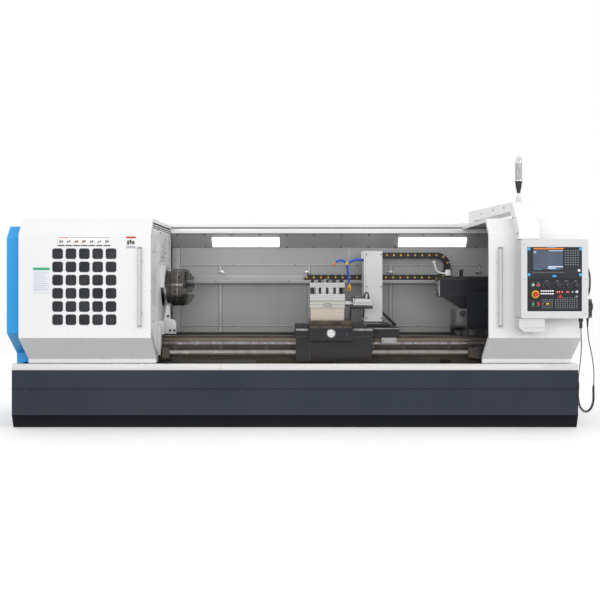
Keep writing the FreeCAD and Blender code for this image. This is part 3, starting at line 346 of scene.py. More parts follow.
finishes = {
    # White paint: its grey film on upward faces is partly dust and partly painted shade that dims the brightly lit
    # tops.
    "white": coated("whitePaint", (0.84, 0.84, 0.85), (0.81, 0.81, 0.82), rough=0.36, coat=0.15,
        wear=(0.62, 0.62, 0.63),
        wearAmount=0.35, grimeAndShade=(0.5, 0.5, 0.5), grimeAndShadeAmount=0.15, grimeBand=(0.5, 0.62), upShare=0.5),
    "boxWhite": coated("boxWhite", (0.64, 0.64, 0.645), (0.61, 0.61, 0.615), rough=0.36, coat=0.1,
        wear=(0.55, 0.55, 0.56),
        wearAmount=0.35),
    "navy": coated("navyPaint", (0.026, 0.031, 0.047), (0.021, 0.026, 0.04), rough=0.45, skinHeight=0.0002,
        wear=(0.12, 0.13, 0.16), wearAmount=0.6, grimeAndShade=(0.08, 0.08, 0.085), grimeAndShadeAmount=0.18,
        grimeBand=(0.0, 0.2), upShare=0.5, specular=0.3),
    "kick": coated("kickPaint", (0.005, 0.006, 0.009), rough=0.6, grimeAndShade=(0.06, 0.058, 0.055), grimeAndShadeAmount=0.2,
        grimeBand=(0.0, 0.1), specular=0.15),
    "blue": coated("bluePaint", (0.015, 0.36, 0.82), (0.012, 0.33, 0.76), rough=0.34, coat=0.1,
        wear=(0.35, 0.6, 0.85),
        wearAmount=0.4),
    "wall": coated("wallPaint", (0.36, 0.36, 0.362), (0.33, 0.33, 0.332), rough=0.4, coat=0.1,
        grimeAndShade=(0.2, 0.18, 0.15), grimeAndShadeAmount=0.3, grimeBand=(0.6, 1.0), wear=(0.5, 0.5, 0.5),
        wearAmount=0.3),
    "pale": coated("palePaint", (0.66, 0.67, 0.68), (0.6, 0.61, 0.62), rough=0.36, coat=0.1, wear=(0.45, 0.45, 0.45),
        wearAmount=0.4, grimeAndShade=(0.3, 0.27, 0.22), grimeAndShadeAmount=0.25, grimeBand=(0.8, 1.1)),
    "dark": coated("darkEnamel", (0.012, 0.0135, 0.018), (0.009, 0.010, 0.013), rough=0.36, coat=0.06,
        skinHeight=0.0003, skin=120, wear=(0.14, 0.14, 0.15), wearAmount=0.7, grimeAndShade=oil, grimeAndShadeAmount=0.2,
        grimeBand=(0.5, 0.9), upShare=0.6, specular=0.32),
    "stainless": coated("brushedStainless", (0.76, 0.745, 0.73), (0.6, 0.59, 0.58), rough=0.27, roughSpread=0.1,
        metal=1.0, grain=(1, 50, 50), grainScale=6, grainHeight=0.00008, wear=(0.8, 0.8, 0.8),
        wearAmount=0.5, grimeAndShade=oil, grimeAndShadeAmount=0.25, grimeBand=(0.45, 0.53)),
    "cast": coated("oiledCast", (0.10, 0.095, 0.09), (0.055, 0.05, 0.045), rough=0.42, metal=0.6, skin=70,
        skinHeight=0.0012, mottle=5, wear=(0.4, 0.39, 0.37), wearAmount=0.6, grimeAndShade=oil,
        grimeAndShadeAmount=0.5, grimeBand=(0.5, 0.85), upShare=0.5),
    "ground": coated("groundSteel", (0.34, 0.33, 0.32), (0.21, 0.2, 0.185), rough=0.2, roughSpread=0.08, metal=1.0,
        grain=(1, 60, 60), grainScale=8, grainHeight=0.00005, grimeAndShade=oil, grimeAndShadeAmount=0.2,
        grimeBand=(0.7, 0.9)),
    "brown": coated("oilyWay", (0.22, 0.19, 0.155), (0.12, 0.10, 0.08), rough=0.3, metal=0.8, grain=(1, 30, 30),
        grainScale=5, grimeAndShade=oil, grimeAndShadeAmount=0.4, grimeBand=(0.7, 0.9)),
    "steel": coated("turnedSteel", (0.52, 0.52, 0.53), (0.38, 0.38, 0.38), rough=0.25, roughSpread=0.1, metal=1.0,
        grain=(40, 3, 3), grainScale=12, grainHeight=0.00005, wear=(0.75, 0.75, 0.75), wearAmount=0.5),
    "chuck": coated("chuckSteel", (0.12, 0.113, 0.105), (0.05, 0.048, 0.045), rough=0.24, roughSpread=0.1, metal=0.9,
        grain=(60, 2, 2), grainScale=10, grainHeight=0.00006, wear=(0.5, 0.49, 0.47), wearAmount=0.9,
        wearRadius=0.003),
    "post": coated("postSteel", (0.66, 0.66, 0.66), (0.5, 0.5, 0.5), rough=0.27, roughSpread=0.1, metal=0.85,
        grain=(2, 2, 40), grainScale=10, grainHeight=0.00006, wear=(0.85, 0.85, 0.85), wearAmount=0.6,
        wearRadius=0.002, grimeAndShade=oil, grimeAndShadeAmount=0.12, grimeBand=(0.9, 1.1)),
    "beige": coated("oiledBlock", (0.52, 0.46, 0.38), (0.36, 0.3, 0.23), rough=0.3, metal=0.7, mottle=9,
        grain=(3, 3, 20), grainScale=8, grainHeight=0.0001, wear=(0.75, 0.72, 0.66), wearAmount=0.5,
        grimeAndShade=(0.2, 0.13, 0.07), grimeAndShadeAmount=0.6, grimeBand=(0.9, 1.05)),
    "chrome": coated("chromePlate", (0.8, 0.8, 0.81), (0.7, 0.7, 0.7), rough=0.08, roughSpread=0.04, metal=1.0),
    "rubber": coated("blackRubber", (0.012, 0.012, 0.013), (0.02, 0.02, 0.02), rough=0.62, skin=500,
        skinHeight=0.0002),
    "black": coated("blackPlastic", (0.014, 0.014, 0.016), (0.022, 0.022, 0.024), rough=0.42, skin=700,
        skinHeight=0.00015, wear=(0.07, 0.07, 0.075), wearAmount=0.5, wearRadius=0.001),
    "blackSteel": coated("blackedSteel", (0.03, 0.03, 0.032), (0.05, 0.048, 0.045), rough=0.32, metal=0.7,
        wear=(0.4, 0.4, 0.4), wearAmount=0.5, wearRadius=0.0008),
    "panel": coated("panelFilm", (0.016, 0.017, 0.021), (0.02, 0.021, 0.026), rough=0.42, skin=900,
        skinHeight=0.00005, specular=0.3),
    "bezel": coated("bezelGrey", (0.026, 0.028, 0.034), (0.03, 0.032, 0.038), rough=0.4, skin=800,
        skinHeight=0.0001, specular=0.3),
    "key": coated("greyKey", (0.12, 0.13, 0.14), (0.15, 0.16, 0.17), rough=0.45, wearRadius=0.0006),
    "window": coated("smokedPane", (0.008, 0.010, 0.016), (0.03, 0.032, 0.038), rough=0.1, roughSpread=0.04, coat=0.1,
        mottle=7, skinHeight=0.00001, specular=0.35),
    "screen": coated("screenGlass", (0.06, 0.083, 0.13), (0.08, 0.105, 0.16), rough=0.12, roughSpread=0.04,
        mottle=5, skinHeight=0.00001),
    "screenBar": glowing("screenBar", (0.55, 0.66, 0.8), 0.3, (0.5, 0.6, 0.75)),
    "paleBlue": coated("paleBluePlastic", (0.07, 0.42, 0.78), rough=0.3),
    "orange": coated("orangeStrip", (0.86, 0.24, 0.02), (0.8, 0.2, 0.02), rough=0.3),
    "hoseBlue": coated("hoseBlue", (0.01, 0.10, 0.62), (0.01, 0.08, 0.52), rough=0.3, coat=0.2),
    "tipOrange": coated("tipOrange", (0.88, 0.22, 0.02), rough=0.35),
    "red": coated("redPlastic", (0.62, 0.012, 0.014), (0.5, 0.01, 0.012), rough=0.25, coat=0.4),
    "yellow": coated("yellowPlastic", (0.86, 0.56, 0.01), (0.78, 0.5, 0.01), rough=0.35),
    "green": coated("greenPlastic", (0.03, 0.42, 0.16), (0.03, 0.35, 0.13), rough=0.3, coat=0.3),
    "paper": coated("labelWhite", (0.84, 0.84, 0.82), (0.8, 0.8, 0.78), rough=0.4),
    "ink": coated("labelInk", (0.03, 0.03, 0.035), (0.05, 0.05, 0.05), rough=0.45),
    "led": glowing("whiteLed", (0.9, 0.92, 0.95), 0.5, (0.85, 0.87, 0.9)),
    "gasket": coated("windowRubber", (0.03, 0.032, 0.036), rough=0.45, skin=400, skinHeight=0.0002),
    "card": coated("cardGrey", (0.78, 0.80, 0.86), (0.74, 0.76, 0.82), rough=0.4),
    "greenCard": coated("greenCard", (0.02, 0.45, 0.19), rough=0.4),
    "cardLine": coated("cardLine", (0.5, 0.52, 0.58), rough=0.45),
    "seam": coated("seamShadow", (0.05, 0.05, 0.052), (0.08, 0.08, 0.08), rough=0.6),
    "handle": coated("handleSteel", (0.62, 0.62, 0.61), (0.52, 0.52, 0.51), rough=0.33, metal=0.35, grain=(40, 40, 1),
        grainScale=5, wear=(0.8, 0.8, 0.8), wearAmount=0.4),
    "handleCap": coated("handleCap", (0.36, 0.36, 0.36), (0.3, 0.3, 0.3), rough=0.4, metal=0.2),
    "wallLight": coated("wallLight", (0.44, 0.44, 0.44), (0.39, 0.39, 0.39), rough=0.4,
        grimeAndShade=(0.2, 0.18, 0.15), grimeAndShadeAmount=0.25, grimeBand=(0.6, 1.0)),
    "lip": coated("lipPaint", (0.42, 0.42, 0.42), (0.38, 0.38, 0.38), rough=0.38, wear=(0.4, 0.4, 0.4),
        wearAmount=0.3,
        grimeAndShade=(0.25, 0.22, 0.18), grimeAndShadeAmount=0.2, grimeBand=(0.7, 1.2)),
    "dot": coated("amberDot", (0.88, 0.48, 0.02), (0.8, 0.42, 0.02), rough=0.35),
    "wayDark": coated("wayDark", (0.05, 0.042, 0.036), (0.03, 0.026, 0.024), rough=0.35, metal=0.5, mottle=6,
        grimeAndShade=oil, grimeAndShadeAmount=0.4, grimeBand=(0.6, 0.9)),
    "dullSteel": coated("dullSteel", (0.36, 0.36, 0.36), (0.2, 0.195, 0.19), rough=0.3, metal=0.85, mottle=14,
        wear=(0.6, 0.6, 0.6), wearAmount=0.6, grimeAndShade=oil, grimeAndShadeAmount=0.3, grimeBand=(0.6, 0.9)),
    "oilyBrown": coated("oilyBrown", (0.10, 0.075, 0.05), (0.04, 0.034, 0.028), rough=0.28, metal=0.6, mottle=16,
        wear=(0.4, 0.36, 0.3), wearAmount=0.9),
    "screwBrown": coated("bronzedScrew", (0.2, 0.15, 0.1), (0.12, 0.09, 0.07), rough=0.35, metal=0.7),
    "brass": coated("brassPipe", (0.55, 0.36, 0.14), (0.4, 0.26, 0.1), rough=0.25, metal=1.0),
    "guardGrey": coated("guardGrey", (0.13, 0.133, 0.137), (0.1, 0.1, 0.1), rough=0.42, grimeAndShade=oil, grimeAndShadeAmount=0.3,
        grimeBand=(0.8, 1.1)),
    "knob": coated("knobBlack", (0.02, 0.02, 0.022), (0.03, 0.03, 0.03), rough=0.35, wearRadius=0.001,
        wear=(0.1, 0.1, 0.1), wearAmount=0.6),
    "keyMark": coated("keyMark", (0.33, 0.34, 0.36), (0.28, 0.29, 0.3), rough=0.5),
    "keyLight": coated("lightKey", (0.4, 0.41, 0.43), (0.35, 0.36, 0.38), rough=0.4, wearRadius=0.0006),
    "screenDark": coated("screenDark", (0.03, 0.035, 0.05), rough=0.12),
    "lampGlow": glowing("lampGlow", (1.0, 1.0, 1.0), 1.3, (0.97, 0.98, 1.0)),
    "lens": clear("clearLens", (0.58, 0.58, 0.60), 0.12, 0.6),
    "redLens": clear("redLens", (0.8, 0.1, 0.1), 0.15, 0.8),
}

def splitAt(material, colour, height, metal=None):
    # Recolours what lies below a height on the same piece.
    tree = material.node_tree
    shader = tree.nodes["Principled BSDF"]
    split = addNode(tree, "ShaderNodeSeparateXYZ")
    tree.links.new(addNode(tree, "ShaderNodeTexCoord").outputs["Object"], split.inputs[0])
    mask = mathNode(tree, "LESS_THAN", split.outputs["Z"], height)
    old = shader.inputs["Base Color"].links[0].from_socket
    tree.links.new(mixColour(tree, mask, old, colour), shader.inputs["Base Color"])
    if metal is not None:
        own = shader.inputs["Metallic"].default_value
        step = mathNode(tree, "MULTIPLY", mask, metal - own)
        tree.links.new(mathNode(tree, "ADD", step, own), shader.inputs["Metallic"])
    return material


def groundTop(material, colour, height):
    # The faces that look up above a height are ground bright.
    tree = material.node_tree
    shader = tree.nodes["Principled BSDF"]
    place, facing = addNode(tree, "ShaderNodeSeparateXYZ"), addNode(tree, "ShaderNodeSeparateXYZ")
    tree.links.new(addNode(tree, "ShaderNodeTexCoord").outputs["Object"], place.inputs[0])
    tree.links.new(addNode(tree, "ShaderNodeNewGeometry").outputs["Normal"], facing.inputs[0])
    mask = mathNode(tree, "MULTIPLY", mathNode(tree, "GREATER_THAN", place.outputs["Z"], height),
            mathNode(tree, "GREATER_THAN", facing.outputs["Z"], 0.8))
    for label, value in (("Base Color", colour), ("Metallic", 1.0), ("Roughness", 0.16)):
        socket = shader.inputs[label]
        if label == "Base Color":
            tree.links.new(mixColour(tree, mask, socket.links[0].from_socket, value), socket)
            continue
        own = socket.links[0].from_socket if socket.links else socket.default_value
        kept = mathNode(tree, "MULTIPLY", mathNode(tree, "SUBTRACT", 1.0, mask), own)
        tree.links.new(mathNode(tree, "ADD", kept, mathNode(tree, "MULTIPLY", mask, value)), socket)
    return material


finishes["bed"] = groundTop(coated("bedCasting", (0.06, 0.055, 0.05), (0.035, 0.032, 0.03), rough=0.42, metal=0.5,
        skin=70,
        skinHeight=0.0012, mottle=5, wear=(0.3, 0.29, 0.27), wearAmount=0.6, grimeAndShade=oil,
        grimeAndShadeAmount=0.5, grimeBand=(0.5, 0.85)), (0.2, 0.19, 0.17), 0.78)
finishes["tower"] = splitAt(coated("towerSteel", (0.62, 0.6, 0.57), (0.45, 0.43, 0.4), rough=0.3, metal=0.8, mottle=9,
        grain=(3, 3, 30), grainScale=8, wear=(0.8, 0.78, 0.74), wearAmount=0.5,
        grimeAndShade=(0.25, 0.17, 0.1), grimeAndShadeAmount=0.55, grimeBand=(0.9, 1.05)),
        (0.56, 0.49, 0.41), 1.034, 0.25)
finishes["screw"] = coated("threadSteel", (0.40, 0.39, 0.37), (0.2, 0.19, 0.175), rough=0.32, metal=0.8, mottle=7,
        grain=(100, 2, 2), grainScale=1, grainHeight=0.0015, grimeAndShade=oil, grimeAndShadeAmount=0.3,
        grimeBand=(0.5, 0.7))
finishes["column"] = splitAt(coated("columnPaint", (0.68, 0.685, 0.69), (0.62, 0.625, 0.63), rough=0.36, coat=0.1,
        wear=(0.45, 0.45, 0.45), wearAmount=0.4), (0.025, 0.025, 0.027), 0.8985)

nodeFinish = {
    "white": ["headstock_cover", "tail_cover", "rear_cover", "left_door", "right_door", "electrical_cabinet",
        "cabinet_door", "pendant_arm"],
    "boxWhite": ["pendant_box"],
    "navy": ["base_cabinet"], "blue": ["end_cover"], "wall": ["back_guard"], "stainless": ["chip_tray"],
    "cast": ["headstock", "spindle_pulley", "motor_pulley"], "steel": ["spindle", "quill"], "bed": ["bed"],
    "screw": ["z_screw"], "handle": ["left_handle", "right_handle"], "lampGlow": ["work_lamps"],
    "chuck": ["chuck_body", "jaw_1", "jaw_2", "jaw_3", "jaw_4"], "rubber": ["drive_belt"],
    "dark": ["main_motor", "saddle", "apron", "tailstock_body"], "oilyBrown": ["cross_slide"],
    "black": ["z_motor", "mpg_box", "mpg_dial", "mode_knob", "cord_plug"], "pale": ["clamp_lever"],
    "column": ["column_cover"],
    "post": ["turret_head", "turret_motor", "tailstock_wheel"], "tower": ["turret_base"],
    "yellow": ["coolant_tap"], "window": ["left_windows"], "bezel": ["display_unit"], "panel": ["control_panel"],
    "red": ["estop_button", "stop_button"], "green": ["start_button"],
}
for finish, names in nodeFinish.items():
    for name in names:
        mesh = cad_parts[name].data
        mesh.materials.clear()
        mesh.materials.append(finishes[finish])
print("finishes made")


def addBlock(bm, spec, bevel=0.0):
    x0, x1, y0, y1, z0, z1 = [v * milli for v in spec]
    matrix = Matrix.Translation(((x0 + x1) / 2, (y0 + y1) / 2, (z0 + z1) / 2)) @ Matrix.Diagonal(
        (x1 - x0, y1 - y0, z1 - z0, 1))
    made = bmesh.ops.create_cube(bm, size=1.0, matrix=matrix)["verts"]
    if bevel:
        edges = list({e for v in made for e in v.link_edges})
        bmesh.ops.bevel(bm, geom=edges, offset=bevel * milli, segments=2, affect="EDGES", profile=0.6)


def finishPiece(name, bm, finish, body, smooth=35):
    mesh = bpy.data.meshes.new(name)
    bmesh.ops.recalc_face_normals(bm, faces=bm.faces)
    bm.to_mesh(mesh)
    bm.free()
    mesh.materials.append(finishes[finish])
    if smooth:
        mesh.shade_smooth()
        mesh.set_sharp_from_angle(angle=math.radians(smooth))
    piece = bpy.data.objects.new(name, mesh)
    bpy.context.collection.objects.link(piece)
    if body:
        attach(piece, body)
    return piece


def blocks(name, finish, body, specs, bevel=0.8):
    bm = bmesh.new()
    for spec in specs:
        addBlock(bm, spec, bevel)
    return finishPiece(name, bm, finish, body)


def addTurned(bm, centre, axis, profile, sides=40):
    direction = axisOf[axis] if isinstance(axis, str) else Vector(axis).normalized()
    across = direction.orthogonal().normalized()
    other = direction.cross(across)
    origin, rings = Vector(centre) * milli, []
    for along, radius in profile:
        middle = origin + direction * along * milli
        if radius == 0:
            rings.append([bm.verts.new(middle)])
            continue
        rings.append([bm.verts.new(middle + (across * math.cos(a) + other * math.sin(a)) * radius * milli)
                for a in (2 * math.pi * i / sides for i in range(sides))])
    for low, high in zip(rings, rings[1:]):
        for i in range(sides):
            j = (i + 1) % sides
            quad = [low[i % len(low)], low[j % len(low)], high[j % len(high)], high[i % len(high)]]
            corners = list(dict.fromkeys(quad))
            if len(corners) > 2:
                bm.faces.new(corners)
    for ring in (rings[0], rings[-1]):
        if len(ring) > 1:
            bm.faces.new(ring)


def turned(name, finish, body, centre, axis, profile, sides=40):
    bm = bmesh.new()
    addTurned(bm, centre, axis, profile, sides)
    return finishPiece(name, bm, finish, body)


def addPlate(bm, outline, axis, low, high):
    def at(point, place):
        a, b = point
        return Vector({"X": (place, a, b), "Y": (a, place, b), "Z": (a, b, place)}[axis]) * milli
    bottom = [bm.verts.new(at(p, low)) for p in outline]
    top = [bm.verts.new(at(p, high)) for p in outline]
    bm.faces.new(bottom)
    bm.faces.new(top)
    for i in range(len(outline)):
        j = (i + 1) % len(outline)
        bm.faces.new([bottom[i], bottom[j], top[j], top[i]])


def plate(name, finish, body, outline, axis, low, high, bevel=0.0):
    bm = bmesh.new()
    addPlate(bm, outline, axis, low, high)
    if bevel:
        bmesh.ops.bevel(bm, geom=bm.edges[:], offset=bevel * milli, segments=2, affect="EDGES", profile=0.6)
    return finishPiece(name, bm, finish, body)


def splineOf(curve, points, order=3, cyclic=False):
    spline = curve.splines.new("NURBS")
    spline.points.add(len(points) - 1)
    for target, point in zip(spline.points, points):
        target.co = (*point, 1)
    spline.use_cyclic_u = cyclic
    spline.order_u = order
    spline.use_endpoint_u = not cyclic
    return spline


def bar(name, finish, body, points, radius, cyclic=False):
    curve = bpy.data.curves.new(name, "CURVE")
    curve.dimensions = "3D"
    curve.bevel_depth, curve.bevel_resolution, curve.resolution_u = radius * milli, 5, 8
    curve.use_fill_caps = True
    splineOf(curve, [Vector(p) * milli for p in points], cyclic=cyclic)
    drawn = bpy.data.objects.new(name + "Line", curve)
    bpy.context.collection.objects.link(drawn)
    graph = bpy.context.evaluated_depsgraph_get()
    mesh = bpy.data.meshes.new_from_object(drawn.evaluated_get(graph))
    bpy.data.objects.remove(drawn)
    mesh.name = name
    mesh.materials.clear()
    mesh.materials.append(finishes[finish])
    mesh.shade_smooth()
    piece = bpy.data.objects.new(name, mesh)
    bpy.context.collection.objects.link(piece)
    if body:
        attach(piece, body)
    return piece


def buildRepeat():
    tree = bpy.data.node_groups.new("repeatShape", "GeometryNodeTree")
    for label, kind in (("Points", "Geometry"), ("Shape", "Object"), ("Size", "Float"), ("Finish", "Material")):
        socket = tree.interface.new_socket(name=label, in_out="INPUT", socket_type="NodeSocket" + kind)
        if label == "Size":
            socket.default_value = 1.0
    tree.interface.new_socket(name="Copies", in_out="OUTPUT", socket_type="NodeSocketGeometry")
    start, end = tree.nodes.new("NodeGroupInput"), tree.nodes.new("NodeGroupOutput")
    shape = tree.nodes.new("GeometryNodeObjectInfo")
    tree.links.new(start.outputs["Shape"], shape.inputs["Object"])
    turn = None
    for label, axis in (("facing", "Z"), ("along", "X")):
        named = addNode(tree, "GeometryNodeInputNamedAttribute", data_type="FLOAT_VECTOR")
        named.inputs["Name"].default_value = label
        align = addNode(tree, "FunctionNodeAlignRotationToVector", axis=axis)
        if turn:
            align.pivot_axis = "Z"
            tree.links.new(turn, align.inputs["Rotation"])
        tree.links.new(named.outputs["Attribute"], align.inputs["Vector"])
        turn = align.outputs["Rotation"]
    copies = tree.nodes.new("GeometryNodeInstanceOnPoints")
    tree.links.new(start.outputs["Points"], copies.inputs["Points"])
    tree.links.new(shape.outputs["Geometry"], copies.inputs["Instance"])
    tree.links.new(turn, copies.inputs["Rotation"])
    tree.links.new(start.outputs["Size"], copies.inputs["Scale"])
    real = tree.nodes.new("GeometryNodeRealizeInstances")
    colour = tree.nodes.new("GeometryNodeSetMaterial")
    tree.links.new(copies.outputs["Instances"], real.inputs["Geometry"])
    tree.links.new(real.outputs["Geometry"], colour.inputs["Geometry"])
    tree.links.new(start.outputs["Finish"], colour.inputs["Material"])
    tree.links.new(colour.outputs["Geometry"], end.inputs["Copies"])
    return tree


repeatTree = buildRepeat()


def repeat(name, finish, body, shape, places, size=1.0, along=(1, 0, 0)):
    mesh = bpy.data.meshes.new(name)
    mesh.from_pydata([Vector(p[0]) * milli for p in places], [], [])
    for label, pick in (("facing", lambda p: p[1]), ("along", lambda p: p[2] if len(p) > 2 else along)):
        attribute = mesh.attributes.new(label, "FLOAT_VECTOR", "POINT")
        for item, place in zip(attribute.data, places):
            item.vector = pick(place)
    holder = bpy.data.objects.new(name, mesh)
    bpy.context.collection.objects.link(holder)
    modifier = holder.modifiers.new("repeat", "NODES")
    modifier.node_group = repeatTree
    values = {"Shape": shape, "Size": size, "Finish": finishes[finish]}
    for item in repeatTree.interface.items_tree:
        if item.in_out == "INPUT" and item.name in values:
            modifier[item.identifier] = values[item.name]
    graph = bpy.context.evaluated_depsgraph_get()
    graph.update()
    result = bpy.data.meshes.new_from_object(holder.evaluated_get(graph))
    holder.modifiers.clear()
    holder.data = result
    result.name = name
    bpy.data.meshes.remove(mesh)
    if body:
        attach(holder, body)
    return holder


def template(name, build):
    bm = bmesh.new()
    build(bm)
    bmesh.ops.recalc_face_normals(bm, faces=bm.faces)
    mesh = bpy.data.meshes.new(name)
    bm.to_mesh(mesh)
    bm.free()
    mesh.shade_smooth()
    mesh.set_sharp_from_angle(angle=math.radians(35))
    shape = bpy.data.objects.new(name, mesh)
    return shape


def socketScrew(radius, height):
    def build(bm):
        addTurned(bm, (0, 0, 0), "Z", [(0, radius), (height * 0.85, radius), (height, radius * 0.86)], 16)
        top = max(bm.faces, key=lambda f: f.calc_center_median().z)
        bmesh.ops.inset_region(bm, faces=[top], thickness=radius * 0.34 * milli)
        moved = bmesh.ops.extrude_face_region(bm, geom=[top])
        sunk = [v for v in moved["geom"] if isinstance(v, bmesh.types.BMVert)]
        bmesh.ops.translate(bm, verts=sunk, vec=(0, 0, -height * 0.5 * milli))
        bmesh.ops.delete(bm, geom=[top], context="FACES_ONLY")
    return build


screwShapes = {
    "small": template("smallScrew", socketScrew(5, 3)),
    "middle": template("middleScrew", socketScrew(7, 5)),
    "large": template("largeScrew", socketScrew(11, 9)),
}


cordSize = {
    "radius": 4, "curl": 12, "pitch": 12, "turnPoints": 12, "easeTurns": 3, "length": 3.1,
    "leadOut": [(2427, 903), (2430, 845), (2438, 788), (2449, 735), (2461, 680),
        (2471, 622), (2478, 562), (2481, 500), (2478, 438)],
    "curlRoute": [(2478, 438), (2474, 380), (2477, 322), (2472, 268), (2453, 222), (2422, 198),
        (2388, 206), (2362, 240), (2349, 290), (2345, 348), (2349, 406), (2351, 464)],
    "leadBack": [(2351, 464), (2355, 522), (2362, 580), (2371, 638), (2374, 700), (2377, 764), (2374, 828),
        (2372, 893)],
}


def cordPlane():
    low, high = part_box("cord_curl")
    return (low[1] + high[1]) * 500


def routeLine(points):
    curve = bpy.data.curves.new("route", "CURVE")
    curve.dimensions, curve.resolution_u = "3D", 24
    splineOf(curve, points)
    drawn = bpy.data.objects.new("route", curve)
    bpy.context.collection.objects.link(drawn)
    mesh = bpy.data.meshes.new_from_object(drawn.evaluated_get(bpy.context.evaluated_depsgraph_get()))
    line = [v.co.copy() for v in mesh.vertices]
    bpy.data.objects.remove(drawn)
    bpy.data.meshes.remove(mesh)
    return line


def helixPoints(line):
    lengths = [0.0]
    for a, b in zip(line, line[1:]):
        lengths.append(lengths[-1] + (b - a).length)
    total, pitch = lengths[-1], cordSize["pitch"] * milli
    turns = round(total / pitch)
    count, radius = turns * cordSize["turnPoints"], (cordSize["curl"] - cordSize["radius"]) * milli
    side, points, k = Vector((0, 1, 0)), [], 0
    for i in range(count + 1):
        place = total * i / count
        while k < len(line) - 2 and lengths[k + 1] < place:
            k += 1
        run = line[k + 1] - line[k]
        share = (place - lengths[k]) / max(run.length, 1e-9)
        middle, across = line[k] + run * share, run.normalized().cross(side)
        ease = min(1.0, min(i, count - i) / (cordSize["easeTurns"] * cordSize["turnPoints"]))
        ease = ease * ease * (3 - 2 * ease)
        angle = 2 * math.pi * turns * i / count
        points.append(middle + (side * math.cos(angle) + across * math.sin(angle)) * radius * ease)
    return points


def pendantCord():
    y = cordPlane() * milli
    leadOut, curl, leadBack = [
        [Vector((x * milli, y, z * milli)) for x, z in cordSize[key]] for key in ("leadOut", "curlRoute", "leadBack")]
    points = leadOut[:-1] + helixPoints(routeLine(curl)) + leadBack[1:]
    curve = bpy.data.curves.new("pendantCord", "CURVE")
    curve.dimensions = "3D"
    curve.bevel_depth, curve.bevel_resolution, curve.resolution_u = cordSize["radius"] * milli, 2, 3
    curve.use_fill_caps = True
    splineOf(curve, points)
    curve.materials.append(finishes["rubber"])
    cord = bpy.data.objects.new("pendantCord", curve)
    bpy.context.collection.objects.link(cord)
    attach(cord, "pendant")
    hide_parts("cord_lead_out", "cord_curl", "cord_lead_back")


pendantCord()
print("cord made")


front, back, left, right = (0, -1, 0), (0, 1, 0), (-1, 0, 0), (1, 0, 0)
up, upright = (0, 0, 1), (0, 0, 1)


def spread(start, end, step):
    count = max(int(round((end - start) / step)), 1)
    return [start + (end - start) * i / count for i in range(count + 1)]


base = {"seamHeight": 341, "seamWidth": 4, "screwHeight": 321, "screwStep": 494, "kickHeight": 113, "kickSet": 50,
        "traySeam": -650, "skin": 1.2}


def dressBase():
    x0, x1, y0, y1, z0, z1 = extent("base_cabinet")
    low, high, skin = base["seamHeight"] - base["seamWidth"] / 2, base["seamHeight"] + base["seamWidth"] / 2, base["skin"]
    blocks("baseSeam", "kick", "root", [
        (x0 - skin, x1 + skin, y0 - skin, y0 + skin, low, high),
        (x0 - skin, x1 + skin, y1 - skin, y1 + skin, low, high),
        (x0 - skin, x0 + skin, y0, y1, low, high), (x1 - skin, x1 + skin, y0, y1, low, high)], 0)
    blocks("basePlinthLip", "navy", "root", [
        (x0 - 2, x1 + 2, y0 - 2, y0 + 1, low - 3, low), (x0 - 2, x0 + 1, y0, y1, low - 3, low),
        (x1 - 1, x1 + 2, y0, y1, low - 3, low)], 0)
    kick, inset = base["kickHeight"], base["kickSet"]
    plate("kickPlate", "kick", "root", [(y0 - skin, kick), (y0 + inset - skin, z0 + 1), (y0 + inset + 1, z0 + 1),
            (y0 + 1, kick)], "X", x0 + 1, x1 - 1)
    height, inside = base["screwHeight"], 125
    places = [((x, y0, height), front) for x in spread(x0 + inside, x1 - inside, base["screwStep"])]
    places += [((x, y1, height), back) for x in spread(x0 + inside, x1 - inside, base["screwStep"])]
    places += [((x0, y, height), left) for y in spread(y0 + 90, y1 - 90, 470)]
    places += [((x1, y, height), right) for y in spread(y0 + 90, y1 - 90, 470)]
    repeat("baseScrews", "ink", "root", screwShapes["middle"], places, size=1.25)
    top, tray = extent("chip_tray")[5], base["traySeam"]
    blocks("traySeams", "ink", "root", [(tray - 1, tray + 1, y0 - 0.6, y0 + 0.5, z1 + 1, top - 1),
            (-tray - 1, -tray + 1, y1 - 0.5, y1 + 0.6, z1 + 1, top - 1)], 0)
    for name, y in (("trayBeadFront", y0 + 3), ("trayBeadBack", y1 - 3)):
        bar(name, "stainless", "root", [(x0 + 3, y, top), (0, y, top), (x1 - 3, y, top)], 3)
    blocks("trayDrip", "kick", "root", [(x0 - 0.5, x1 + 0.5, y0 - 0.6, y0 + 0.5, z1 - 3, z1 + 1.5)], 0)


dressBase()

endCover = {"step": 190, "inset": 26, "slats": 9, "slatStep": 34, "latch": 16}


def louvre(bm):
    for i in range(2):
        addPlate(bm, [(0, 0), (14, 12), (16, 11), (3, 0)] if i == 0 else [(0, 0), (14, 12), (13, 0)],
                "X", -150 if i == 0 else -150, 150 if i == 0 else -148)


def dressEnds():
    x0, x1, y0, y1, z0, z1 = extent("end_cover")
    x0, inset = x0 + endCover["latch"], endCover["inset"]
    ring = [(y, z0 + inset) for y in spread(-540, y1 - inset, 190)]
    ring += [(y1 - inset, z) for z in spread(z0 + 200, z1 - 60, endCover["step"])]
    ring += [(y, z1 - inset) for y in spread(-740, y1 - 140, endCover["step"])]
    ring += [(-872, z) for z in spread(860, z1 - 140, endCover["step"])]
    repeat("endScrews", "chrome", "root", screwShapes["small"], [((x0, y, z), left) for y, z in ring])
    x = extent("tail_cover")[1]
    repeat("tailScrews", "chrome", "root", screwShapes["small"],
           [((x, y, z), right) for y, z in ring if y < 700])
    slats = [(x0, 250, 700 + i * endCover["slatStep"]) for i in range(endCover["slats"])]
    repeat("endLouvres", "blue", "root", louvreShape, [(p, left, (0, -1, 0)) for p in slats])
    blocks("endLatch", "blackSteel", "root", [(x0 - 4, x0, -528, -482, 990, 1120)], 1)
    blocks("endHinges", "blackSteel", "root", [(x0 - 8, x0, 700, 732, z, z + 90) for z in (760, 1500)], 2)


louvreShape = template("louvreSlat", louvre)
dressEnds()

windowFrame = {"half": 45.5, "cut": 14, "lip": 5.5, "proud": 2.2}


